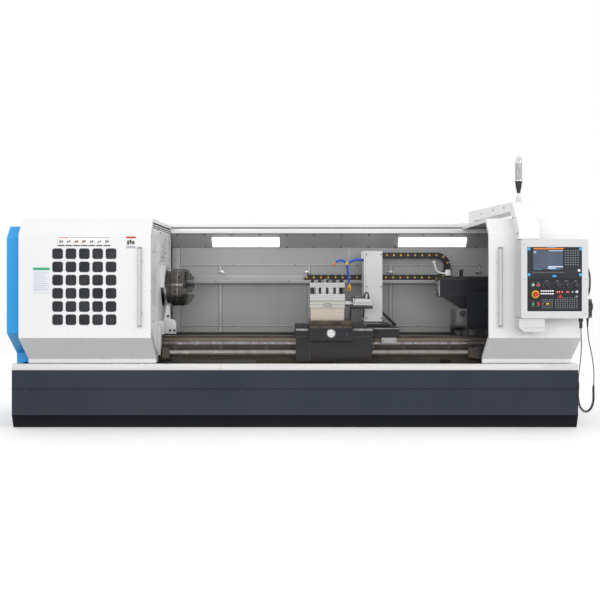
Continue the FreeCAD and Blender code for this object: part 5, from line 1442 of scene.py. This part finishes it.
tail = {"lever": [(1425, -220, 1352), (1405, -222, 1352), (1330, -226, 1362), (1306, -229, 1400), (1292, -232, 1456)]}


def dressTailstock():
    body = "tailstock"
    x0, x1, y0, y1, z0, z1 = extent("tailstock_body")
    axis = (0, -167, 1224)
    turned("quillNose", "ground", body, axis, "X", [(x0, 60.6), (x0 - 5, 62), (x0 - 6, 78), (x0 - 2, 84), (x0, 84)],
           56)
    repeat("quillNoseScrews", "blackSteel", body, screwShapes["small"],
           [((x0 - 5, axis[1] + 72 * math.cos(t), axis[2] + 72 * math.sin(t)),
            left) for t in (math.pi / 4 * (i + 0.5) for i in range(8))])
    blocks("barrelEdge", "dullSteel", body, [(x0 - 1, x0 + 12, y, y + 5, 1142, 1290) for y in (-264, -76)] , 1)
    blocks("tailPlate", "guardGrey", body, [(1482, 1577, -352, -340, 856, 1030)], 2)
    blocks("tailPlateBack", "guardGrey", body, [(1482, 1500, -340, 10, 856, 1020)], 2)
    turned("tailKnob", "black", body, (1532, -352, 990), "Y",
           [(0, 12), (-24, 12), (-26, 24), (-50, 26), (-56, 20), (-56, 0)], 24)
    blocks("tailWipers", "rubber", body,
           [(1506, 1580, -545, -420, 794, 838), (1500, 1580, 60, 160, 794, 838), (1420, 1545, -470, -330, 862, 876)],
           3)
    blocks("tailClampBlocks", "blackSteel", body,
           [(1560, 1640, -572, -552, 796, 846), (1700, 1780, -572, -552, 796, 846),
            (1452, 1510, -500, -420, 796, 836)], 4)
    turned("oilCup", "blackSteel", body, (1555, -167, 1325), "Z",
           [(0, 20), (6, 20), (7, 15), (48, 15), (50, 19), (62, 19), (66, 14), (66, 0)], 24)
    turned("oilCupBand", "dullSteel", body, (1528, -190, 1325), "Z", [(0, 10), (44, 10), (46, 8), (46, 0)], 18)
    blocks("barrelSeams", "seam", body,
           [(1790, 1792, -263.2, -262, 1140, 1288), (x0 + 60, x1 - 20, -263, -262, 1150, 1152)], 0)
    repeat("barrelScrews", "blackSteel", body, screwShapes["middle"],
           [((x, -262, z), front) for x in (1400, 1620, 1760, 1960) for z in (1165, 1275)]
           + [((x, -552, z), front) for x in (1640, 1860, 2040) for z in (822,)])
    piece = bar("clampLever", "pale", "clamp_lever", tail["lever"], 8)
    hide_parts("clamp_lever")
    turned("clampHub", "pale", "clamp_lever", (1425, -203, 1334), "Z",
           [(0, 27), (3, 30), (34, 30), (38, 27), (50, 26), (54, 22), (54, 0)], 36)
    turned("clampPin", "dullSteel", "clamp_lever", (1425, -203, 1388), "Z", [(-1, 8), (5, 8), (7, 6), (7, 0)], 18)
    turned("clampTip", "pale", "clamp_lever", tail["lever"][-1], (-0.3, 0, 1),
           [(-12, 7.5), (-6, 12), (2, 14), (10, 12), (15, 7), (16, 0)], 20)
    wx0, wx1, wy0, wy1, wz0, wz1 = extent("tailstock_wheel")
    turned("wheelHub", "blackSteel", "tailstock_wheel", axis, "X",
           [(wx0 + 68, 0), (wx0 + 68, 26), (wx0 + 74, 24), (wx0 + 74, 0)], 28)


dressTailstock()
print("tailstock dressed")


pendant = {"frameScrews": 26}


def dressPendant():
    body = "pendant"
    x0, x1, y0, y1 = 1854, 2404, -1356, -1128
    z0, z1 = 979, 1627
    inset, mid = pendant["frameScrews"], (x0 + x1) / 2
    places = [((x, y0, z), front) for x in (x0 + inset, mid, x1 - inset) for z in (z0 + 40, z1 - 44)]
    places += [((x, y0, 1302), front) for x in (x0 + inset, x1 - inset)]
    repeat("frameScrews", "chrome", body, screwShapes["middle"], places, size=0.95)
    repeat("pendantBackScrews", "blackSteel", body, screwShapes["middle"],
           [((x, y1, z), back) for x in (x0 + 30, x1 - 30) for z in (z0 + 30, 1302, z1 - 30)])
    blocks("pendantBackPlate", "white", body, [(x0 + 16, x1 - 16, y1, y1 + 3, z0 + 16, z1 - 16)], 1)
    slats = [((mid, y1 + 3, 1080 + 26 * i), back, left) for i in range(7)]
    repeat("pendantVents", "white", body, louvreShape, slats, size=0.8)
    blocks("pendantSeams", "seam", body, [(x0 - 0.4, x1 + 0.4, y0 + 30, y0 + 32, z0 - 0.4, z0 + 0.6)], 0)
    fx0, fx1 = 1904, 2351
    blocks("faceStrip", "bezel", body, [(fx0, fx1, y0 - 1.5, y0 + 1, 1308, 1322)], 0.5)
    blocks("boxSeams", "seam", body,
           [(1838, 2053, -1336.6, -1336, 977, 979), (1880, 2050, -1336.6, -1336, 899, 900.5)], 0)
    displayFront(body, fx0, fx1, y0 + 1)
    panelFront(body, fx0, fx1, y0 + 5)
    points = [(2403, -1250, 1398), (2422, -1250, 1392), (2437, -1250, 1362), (2443, -1250, 1320), (2444, -1250, 1276),
            (2443, -1250, 1232), (2437, -1250, 1190), (2422, -1250, 1160), (2403, -1250, 1154)]
    bar("bowGrip", "black", body, points, 11)
    blocks("bowFeet", "black", body, [(2403, 2412, -1268, -1232, 1382, 1412), (2403, 2412, -1268, -1232, 1140, 1170)],
           3)


def displayFront(body, x0, x1, y):
    z0, z1 = 1321, 1563
    sx0, sx1, sz0, sz1 = x0 + 47, x0 + 292, 1376, 1538
    blocks("displayFrame", "bezel", body, [
        (x0 + 1, x1 - 1, y - 4, y + 1, z1 - 7, z1 - 1), (x0 + 1, x1 - 1, y - 4, y + 1, z0 + 1, z0 + 6),
        (x0 + 1, x0 + 7, y - 4, y + 1, z0 + 6, z1 - 7), (x1 - 7, x1 - 1, y - 4, y + 1, z0 + 6, z1 - 7),
        (sx0 - 9, sx1 + 9, y - 3, y + 1, sz1, sz1 + 5), (sx0 - 9, sx1 + 9, y - 3, y + 1, sz0 - 5, sz0),
        (sx0 - 9, sx0 - 1, y - 3, y + 1, sz0, sz1), (sx1 + 1, sx1 + 9, y - 3, y + 1, sz0, sz1)], 0.8)
    blocks("screenPane", "screen", body, [(sx0, sx1, y - 1.2, y + 0.5, sz0, sz1)], 0)
    blocks("screenBars", "screenBar", body, [
        (sx0 + 6, sx0 + 26, y - 2, y - 1, sz1 - 14, sz1 - 9), (sx0 + 6, sx0 + 22, y - 2, y - 1, sz1 - 24, sz1 - 19),
        (sx0 + 128, sx1 - 2, y - 2, y - 1, sz1 - 8, sz1 - 3), (sx0 + 124, sx1 - 2, y - 2, y - 1, sz0 + 22, sz0 + 30),
        (sx0 + 120, sx1 - 60, y - 2, y - 1, sz0 + 10, sz0 + 18)], 0)
    blocks("screenFoot", "screenDark", body, [(sx0 + 1, sx1 - 1, y - 1.9, y - 1, sz0 + 1, sz0 + 7)], 0)
    marks = [(sx0 + 6 + 18 * i, sx0 + 18 + 18 * i, y - 2.4, y - 1.6, sz0 + 2, sz0 + 6) for i in range(4)]
    marks += [(sx0 + 132 + 17 * i, sx0 + 144 + 17 * i, y - 2.4, y - 1.6, sz0 + 2, sz0 + 6) for i in range(5)]
    blocks("screenMarks", "paleBlue", body, marks, 0)
    blocks("displayStrip", "orange", body, [(x0 + 50, x0 + 296, y - 5, y - 3, z1 - 19, z1 - 8)], 0.5)
    blocks("displayTabs", "paleBlue", body, [
        (x0 + 1, x0 + 24, y - 5.5, y - 1, z1 - 28, z1 - 4), (x1 - 24, x1 - 1, y - 5.5, y - 1, z1 - 28, z1 - 4),
        (x0 + 1, x0 + 24, y - 5.5, y - 1, z0 + 4, z0 + 28), (x1 - 24, x1 - 1, y - 5.5, y - 1, z0 + 4, z0 + 28),
        (x0 + 206, x0 + 236, y - 6, y - 1, z0 - 4, z0 + 12), (x0 + 160, x0 + 236, y - 5.5, y - 3.5, z1 - 6, z1 - 2)],
        0.8)
    keys = [((x0 + 46 + 20.5 * i, y, z0 + 34), front) for i in range(13)]
    columns = [x0 + 312 + 20.5 * i for i in range(6)]
    keys += [((x, y, z), front) for x in columns for z in [sz1 - 6 - 19 * j for j in range(7)]]
    repeat("displayKeys", "key", body, keyShape, keys, size=0.95)
    blocks("keyMarks", "keyMark", body, [(x - 4, x + 4, y - 4.6, y - 3.9, z - 1, z + 3)
            for x in columns for z in [sz1 - 6 - 19 * j for j in range(7)]], 0)
    turned("displayPort", "paper", body, (x1 - 24, y, 1371), "Y", [(0.5, 11), (-3, 11), (-4, 9), (-4, 0)], 24)


def keyCap(bm):
    addBlock(bm, (-7, 7, -6, 6, 0, 4), 0)
    top = [f for f in bm.faces if f.normal.z > 0.9]
    for face in top:
        bmesh.ops.scale(bm, verts=face.verts[:], vec=(0.86, 0.86, 1))


keyShape = template("keyCap", keyCap)


def knobCap(bm):
    addTurned(bm, (0, 0, 0), "Z", [(0, 17), (2, 18), (12, 16), (14, 14), (14, 0)], 20)
    addPlate(bm, [(-3, -15), (3, -15), (3, 15), (-3, 15)], "Z", 13, 21)


knobShape = template("knobCap", knobCap)


def tick(bm):
    addBlock(bm, (-1.1, 1.1, -3, 3, -0.3, 0.5), 0)


tickShape = template("dialTick", tick)


def dialTicks(name, finish, body, centre, radius, count, start, end, facing=front):
    places = []
    for i in range(count):
        a = start + (end - start) * i / (count - 1)
        if facing == front:
            spot = (centre[0] + radius * math.sin(a), centre[1], centre[2] + radius * math.cos(a))
            line = (math.cos(a), 0, -math.sin(a))
        else:
            spot = (centre[0], centre[1] + radius * math.sin(a), centre[2] + radius * math.cos(a))
            line = (0, math.cos(a), -math.sin(a))
        places.append((spot, facing, line))
    repeat(name, finish, body, tickShape, places)


def panelFront(body, x0, x1, y):
    z0 = 1037
    y -= 0.4
    for i, x in enumerate((160, 248, 321, 394)):
        dialTicks("knobTicks%d" % i, "keyMark", body, (x0 + x, y, z0 + 213), 26, 11, -2.3, 2.3)
        blocks("knobLabel%d" % i, "keyMark", body, [(x0 + x - 14, x0 + x + 14, y - 0.6, y + 0.3, z0 + 247, z0 + 250)],
               0)
    repeat("overrideKnobs", "knob", body, knobShape,
           [((x0 + x, y, z0 + 213), front, (1, 0, 0.3)) for x in (248, 321, 394)])
    repeat("knobLines", "paper", body, tickShape,
           [((x0 + x + 2, y - 20.6, z0 + 213 + 8), front, (0.96, 0, -0.28)) for x in (248, 321, 394)])
    turned("stopRing", "yellow", body, (x0 + 68, y, z0 + 139), "Y",
           [(0.3, 31), (-1.1, 31), (-1.6, 30), (-1.6, 21.5), (0.3, 21.5)], 40)
    for name, x, finish in (("startRim", 47, "dullSteel"), ("stopRim", 89, "dullSteel")):
        turned(name, finish, body, (x0 + x, y, z0 + 215), "Y",
               [(0.3, 15.5), (-3, 15.5), (-4, 14), (-4, 11.6), (0.3, 11.6)], 28)
    ex0, ex1, ey0, ey1, ez0, ez1 = extent("start_button")
    blocks("startMark", "paper", "start_button",
           [((ex0 + ex1) / 2 - 7, (ex0 + ex1) / 2 + 7, ey0 - 0.8, ey0 + 0.4, (ez0 + ez1) / 2 - 3,
            (ez0 + ez1) / 2 + 6)], 0)
    leds = [(x0 + 118 + 18.3 * i, z) for i in range(6) for z in (z0 + 166, z0 + 144)]
    blocks("ledBars", "led", body, [(x - 6.5, x + 6.5, y - 1.6, y + 0.3, z - 4, z + 4) for x, z in leds], 0.4)
    blocks("ledKeys", "key", body, [(x - 7.5, x + 7.5, y - 1, y + 0.3, z - 5, z + 5) for x, z in leds], 0.4)
    reds = [(x0 + 240, x0 + 255), (x0 + 256, x0 + 271), (x0 + 280, x0 + 295), (x0 + 317, x0 + 331),
            (x0 + 332, x0 + 344)]
    blocks("redKeys", "red", body, [(a, b, y - 2.4, y + 0.3, z0 + 150, z0 + 166) for a, b in reds], 0.6)
    blocks("redKeyMarks", "paper", body, [(a + 4, b - 5, y - 3, y - 2.2, z0 + 155, z0 + 161) for a, b in reds], 0)
    blocks("greyKeys", "keyLight", body, [(x0 + 364, x0 + 378, y - 2.4, y + 0.3, z0 + 152, z0 + 166)], 0.6)
    turned("keySwitch", "chrome", body, (x0 + 404, y, z0 + 160), "Y", [(0.3, 11), (-6, 11), (-7, 9.5), (-7, 0)], 28)
    blocks("keySlot", "ink", body, [(x0 + 403, x0 + 405, y - 7.5, y - 6.8, z0 + 155, z0 + 165)], 0)
    turned("keySwitchLow", "dullSteel", body, (x0 + 402, y, z0 + 120), "Y", [(0.3, 10), (-7, 10), (-8, 8), (-8, 0)],
           28)
    blocks("keyGrip", "chrome", body, [(x0 + 400.6, x0 + 403.4, y - 19, y - 7.6, z0 + 111, z0 + 129)], 0.6)
    turned("doorButton", "red", body, (x0 + 270, y, z0 + 122), "Y", [(0.3, 13), (-5, 13), (-8, 11), (-9, 8), (-9, 0)],
           30)
    plate("greenKey", "green", body, [(x0 + 36, z0 + 59), (x0 + 48, z0 + 72), (x0 + 60, z0 + 59), (x0 + 48, z0 + 46)],
          "Y", y - 4, y + 0.3, 0.8)
    blocks("redKey", "red", body, [(x0 + 80, x0 + 102, y - 4, y + 0.3, z0 + 48, z0 + 70)], 1)
    blocks("keyFrames", "keyMark", body, [(a, b, y - 0.8, y + 0.3, c, d) for a, b, c, d in (
        (x0 + 33, x0 + 63, z0 + 41, z0 + 43), (x0 + 33, x0 + 63, z0 + 75, z0 + 77),
        (x0 + 77, x0 + 105, z0 + 41, z0 + 43),
        (x0 + 77, x0 + 105, z0 + 75, z0 + 77), (x0 + 38, x0 + 56, z0 + 236, z0 + 239),
        (x0 + 80, x0 + 98, z0 + 236, z0 + 239))], 0)
    blocks("yellowKey", "yellow", body, [(x0 + 155, x0 + 177, y - 3.4, y + 0.3, z0 + 55, z0 + 67)], 0.8)
    grid = [(x0 + 128 + 19 * i, z0 + 28 + 16.5 * j) for i in range(5) for j in range(5) if (i, j) not in ((2, 2),
        (1, 2))]
    grid += [(x0 + 232 + 19.4 * i, z0 + 28 + 16.5 * j) for i in range(10) for j in range(6)
            if not (i in (0, 9) and j == 5)]
    repeat("panelKeys", "key", body, keyShape, [((x, y + 0.3, z), front) for x, z in grid], size=0.85)
    blocks("panelKeyMarks", "keyMark", body,
           [(x - 3, x + 3, y - 3.6, y - 3, z - 2, z + 1.6) for i, (x, z) in enumerate(grid) if i % 3], 0)


def dressMode():
    x0, x1, y0, y1, z0, z1 = extent("mode_knob")
    repeat("modeLine", "paper", "mode_knob", tickShape, [(((x0 + x1) / 2, y0 - 0.2, z1 - 9), front, (1, 0, 0))])
    ex0, ex1, ey0, ey1, ez0, ez1 = extent("estop_button")
    middle = ((ex0 + ex1) / 2, ey0, (ez0 + ez1) / 2)
    arrows = [((middle[0] + 12 * math.cos(t), ey0 + 0.6, middle[2] + 12 * math.sin(t)), front,
            (math.cos(t), 0, math.sin(t)))
            for t in (0.5, 2.6, 4.7)]
    repeat("estopArrows", "paper", "estop_button", tickShape, arrows, size=0.9)


def dressPod():
    body = "mpg_dial"
    turned("wheelRing", "dullSteel", body, (2450.6, -1250, 1072), "X",
           [(0.5, 36), (3, 36), (4, 34), (4, 0), (0.5, 0)], 44)
    turned("wheelFace", "paper", body, (2463, -1250, 1072), "X", [(-1, 27), (0.6, 27), (0.9, 26), (0.9, 0), (-1, 0)],
           44)
    dialTicks("wheelTicks", "ink", body, (2463.9, -1250, 1072), 22.5, 26, -3.02, 3.02, right)
    turned("wheelCap", "dark", body, (2463, -1250, 1072), "X", [(0, 15), (2, 15), (3, 13), (3, 0)], 30)
    turned("podStrainRelief", "rubber", "pendant", (2427, -1250, 979), "Z",
           [(0, 12), (-8, 12), (-10, 10), (-24, 9.4), (-26, 8.2), (-40, 7.6), (-42, 6.6), (-60, 6), (-76, 5),
            (-76, 0)], 22)
    blocks("podButtons", "keyLight", "pendant",
           [(2449, 2453, -1276, -1262, 1118, 1128), (2449, 2453, -1238, -1224, 1118, 1128)], 1.5)
    turned("podKnobHigh", "knob", "pendant", (2426, -1300, 1112), "Y", [(0, 14), (-3, 15), (-14, 12), (-15, 0)], 22)
    turned("podKnobLow", "knob", "pendant", (2426, -1300, 1072), "Y", [(0, 14), (-3, 15), (-14, 12), (-15, 0)], 22)
    dialTicks("podTicks", "keyMark", "pendant", (2426, -1300.4, 1112), 18.5, 7, -1.9, 1.9)
    repeat("podScrews", "chrome", "pendant", screwShapes["small"],
           [((x, -1300, z), front) for x in (2414, 2440) for z in (990, 1128)], size=0.8)
    turned("podStop", "red", "pendant", (2450, -1250, 1006), "X", [(0, 9), (4, 9), (7, 7), (8, 0)], 22)


def dressLamp():
    x0, x1, y0, y1, z0, z1 = extent("signal_lamp")
    x, y, base, body = 1914.5, (y0 + y1) / 2, z0, "root"
    foot = turned("lampFoot", "pale", body, (x, y, base), "Z",
            [(0, 36), (6, 36), (9, 33), (11, 22), (46, 20), (48, 17), (48, 0)], 36)
    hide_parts("signal_lamp")
    repeat("lampFootScrews", "blackSteel", body, screwShapes["small"],
           [((x + 28 * math.cos(t), y + 28 * math.sin(t), base + 6.5), up) for t in (0.8, 2.9, 5.0)])
    turned("lampPole", "chrome", body, (x, y, base + 46), "Z", [(0, 13), (24, 13), (26, 10), (34, 10), (34, 0)], 28)
    turned("lampCone", "blackSteel", body, (x, y, base + 78), "Z",
           [(0, 12), (3, 14), (54, 24), (97, 30), (100, 31), (103, 31), (103, 0)], 40)
    turned("lampConeRing", "chrome", body, (x, y, base + 181), "Z", [(0, 26), (0, 32), (6, 32.6), (10, 32), (10, 26)],
           40)
    turned("lampLens", "lens", body, (x, y, base + 190), "Z",
           [(0, 29), (2, 30), (40, 30), (41.5, 28.6), (43, 30), (84, 30), (85.5, 28.6), (87, 30), (144, 30),
            (146, 29), (146, 24), (0, 24)], 44)
    turned("lampMirror", "chrome", body, (x, y, base + 190), "Z",
           [(0, 15), (46, 15), (50, 19), (60, 19), (64, 15), (146, 15), (146, 0)], 32)
    turned("lampRedBand", "redLens", body, (x, y, base + 258), "Z", [(0, 17), (0, 22), (34, 22), (34, 17)], 36)
    turned("lampCollar", "chrome", body, (x, y, base + 334), "Z", [(0, 30), (3, 31.4), (14, 31.4), (17, 30)], 40)
    turned("lampDome", "chrome", body, (x, y, base + 350), "Z",
           [(0, 30), (6, 30)] + [(6 + 40 * math.sin(t), 30 * math.cos(t)) for t in (0.3, 0.6, 0.9, 1.2, 1.4)] + [(46,
            0)], 36)


def dressArm():
    x0, x1, y0, y1, z0, z1 = extent("pendant_arm")
    blocks("armSeam", "seam", "root", [(x0 + 2, x1 - 2, -1300.6, -1300, 1629, 1632)], 0)
    repeat("armScrews", "blackSteel", "root", screwShapes["middle"],
           [((x0, y, z), left) for y, z in ((-1240, 1680), (-1080, 1820), (-700, 1930), (-200, 1945), (400, 1950))]
           + [((x1, y, z), right) for y, z in ((-1240, 1680), (-1080, 1820), (-700, 1930), (-200, 1945), (400, 1950))])
    turned("swivelRing", "dullSteel", "pendant", (1932.5, -1242, 1627), "Z",
           [(0, 62), (3, 62), (3.6, 60), (3.6, 52), (0, 52)], 44)


dressPendant()
dressMode()
dressPod()
dressLamp()
dressArm()
print("pendant and signal lamp dressed")

rear = {"seams": (-1150, 0, 1150), "step": 230}


def dressRear():
    x0, x1, y0, y1, z0, z1 = extent("rear_cover")
    seams = [(x - 1.5, x + 1.5, y1 - 0.4, y1 + 0.8, z0 + 2, z1 - 2) for x in rear["seams"] if x < 1500]
    seams += [(x - 1.5, x + 1.5, 345, y1, z1 - 0.4, z1 + 0.6) for x in rear["seams"] if x < 1500]
    blocks("rearSeams", "seam", "root", seams, 0)
    screws = [((x, y1, z), back) for x in spread(x0 + 40, 1660, rear["step"]) for z in (z0 + 30, z1 - 40)]
    screws += [((x + dx, y1, z), back) for x in rear["seams"] if x < 1500 for dx in (-24,
        24) for z in spread(z0 + 240, z1 - 240, 240)]
    screws += [((x, 372, z1), up) for x in spread(x0 + 60, x1 - 60, 380)]
    repeat("rearScrews", "blackSteel", "root", screwShapes["middle"], screws)
    for i, x in enumerate((-1750, -575, 575)):
        z = 760
        repeat("rearLouvres%d" % i, "white", "root", louvreShape,
               [((x, y1, z + 36 * j), back, left) for j in range(8)], size=1.4)
    ex0, ex1, ey0, ey1, ez0, ez1 = extent("electrical_cabinet")
    cx0, cx1, cy0, cy1, cz0, cz1 = extent("cabinet_door")
    doorFace = 1225
    repeat("cabinetVents", "white", "cabinet_door", louvreShape,
           [(((cx0 + cx1) / 2, doorFace, 300 + 30 * i), back, left) for i in range(8)], size=1.25)
    repeat("cabinetVentsHigh", "white", "cabinet_door", louvreShape,
           [(((cx0 + cx1) / 2, doorFace, 1520 + 30 * i), back, left) for i in range(6)], size=1.25)
    blocks("cabinetDoorFrame", "white", "cabinet_door", [
        (cx0 + 26, cx1 - 26, doorFace, doorFace + 2.5, cz1 - 40, cz1 - 34),
        (cx0 + 26, cx1 - 26, doorFace, doorFace + 2.5, cz0 + 34, cz0 + 40),
        (cx0 + 26, cx0 + 32, doorFace, doorFace + 2.5, cz0 + 34, cz1 - 34),
        (cx1 - 32, cx1 - 26, doorFace, doorFace + 2.5, cz0 + 34, cz1 - 34)], 1)
    turned("cabinetLock", "chrome", "cabinet_door", (cx0 + 50, doorFace + 20, 1000), "Y",
           [(-1, 19), (2, 19), (4, 16), (4, 0)], 28)
    blocks("cabinetLockBar", "blackSteel", "cabinet_door",
           [(cx0 + 46, cx0 + 54, doorFace + 23, doorFace + 34, 960, 1040)], 3)
    blocks("cabinetHinges", "blackSteel", "root",
           [(ex1, ex1 + 7, ey1 - 40, ey1 - 2, z, z + 110) for z in (180, 900, 1600)], 2)
    repeat("hingeScrews", "chrome", "root", screwShapes["small"],
           [((ex1 + 7, ey1 - 22, z + dz), right) for z in (180, 900, 1600) for dz in (20, 90)])
    turned("mainSwitchPlate", "yellow", "root", (ex0, ey0 + 200, 1480), (-1, 0, 0),
           [(0, 44), (3, 44), (4, 42), (4, 0)], 36)
    turned("mainSwitch", "red", "root", (ex0 - 4, ey0 + 200, 1480), (-1, 0, 0),
           [(0, 26), (12, 24), (14, 22), (14, 0)], 30)
    blocks("mainSwitchGrip", "red", "root", [(ex0 - 34, ex0 - 16, ey0 + 194, ey0 + 206, 1458, 1502)], 3)
    for i, z in enumerate((200, 250, 300)):
        turned("cabinetGland%d" % i, "black", "root", (ex0, ey0 + 70, z), (-1, 0, 0),
               [(0, 20), (12, 20), (13, 16), (30, 14), (30, 0)], 20)
    plateSpots = [(y, z) for y in (ey0 + 20, ey1 - 20) for z in spread(60, 1820, 440)]
    repeat("cabinetScrews", "blackSteel", "root", screwShapes["small"],
           [((ex1, y, z), right) for y, z in plateSpots if z < 1800])
    repeat("liftEyes", "chrome", "root", screwShapes["large"],
           [((x, y, ez1), up) for x in (ex0 + 40, ex1 - 40) for y in (ey0 + 330, ey1 - 30)], size=1.6)


dressRear()
print("rear dressed")
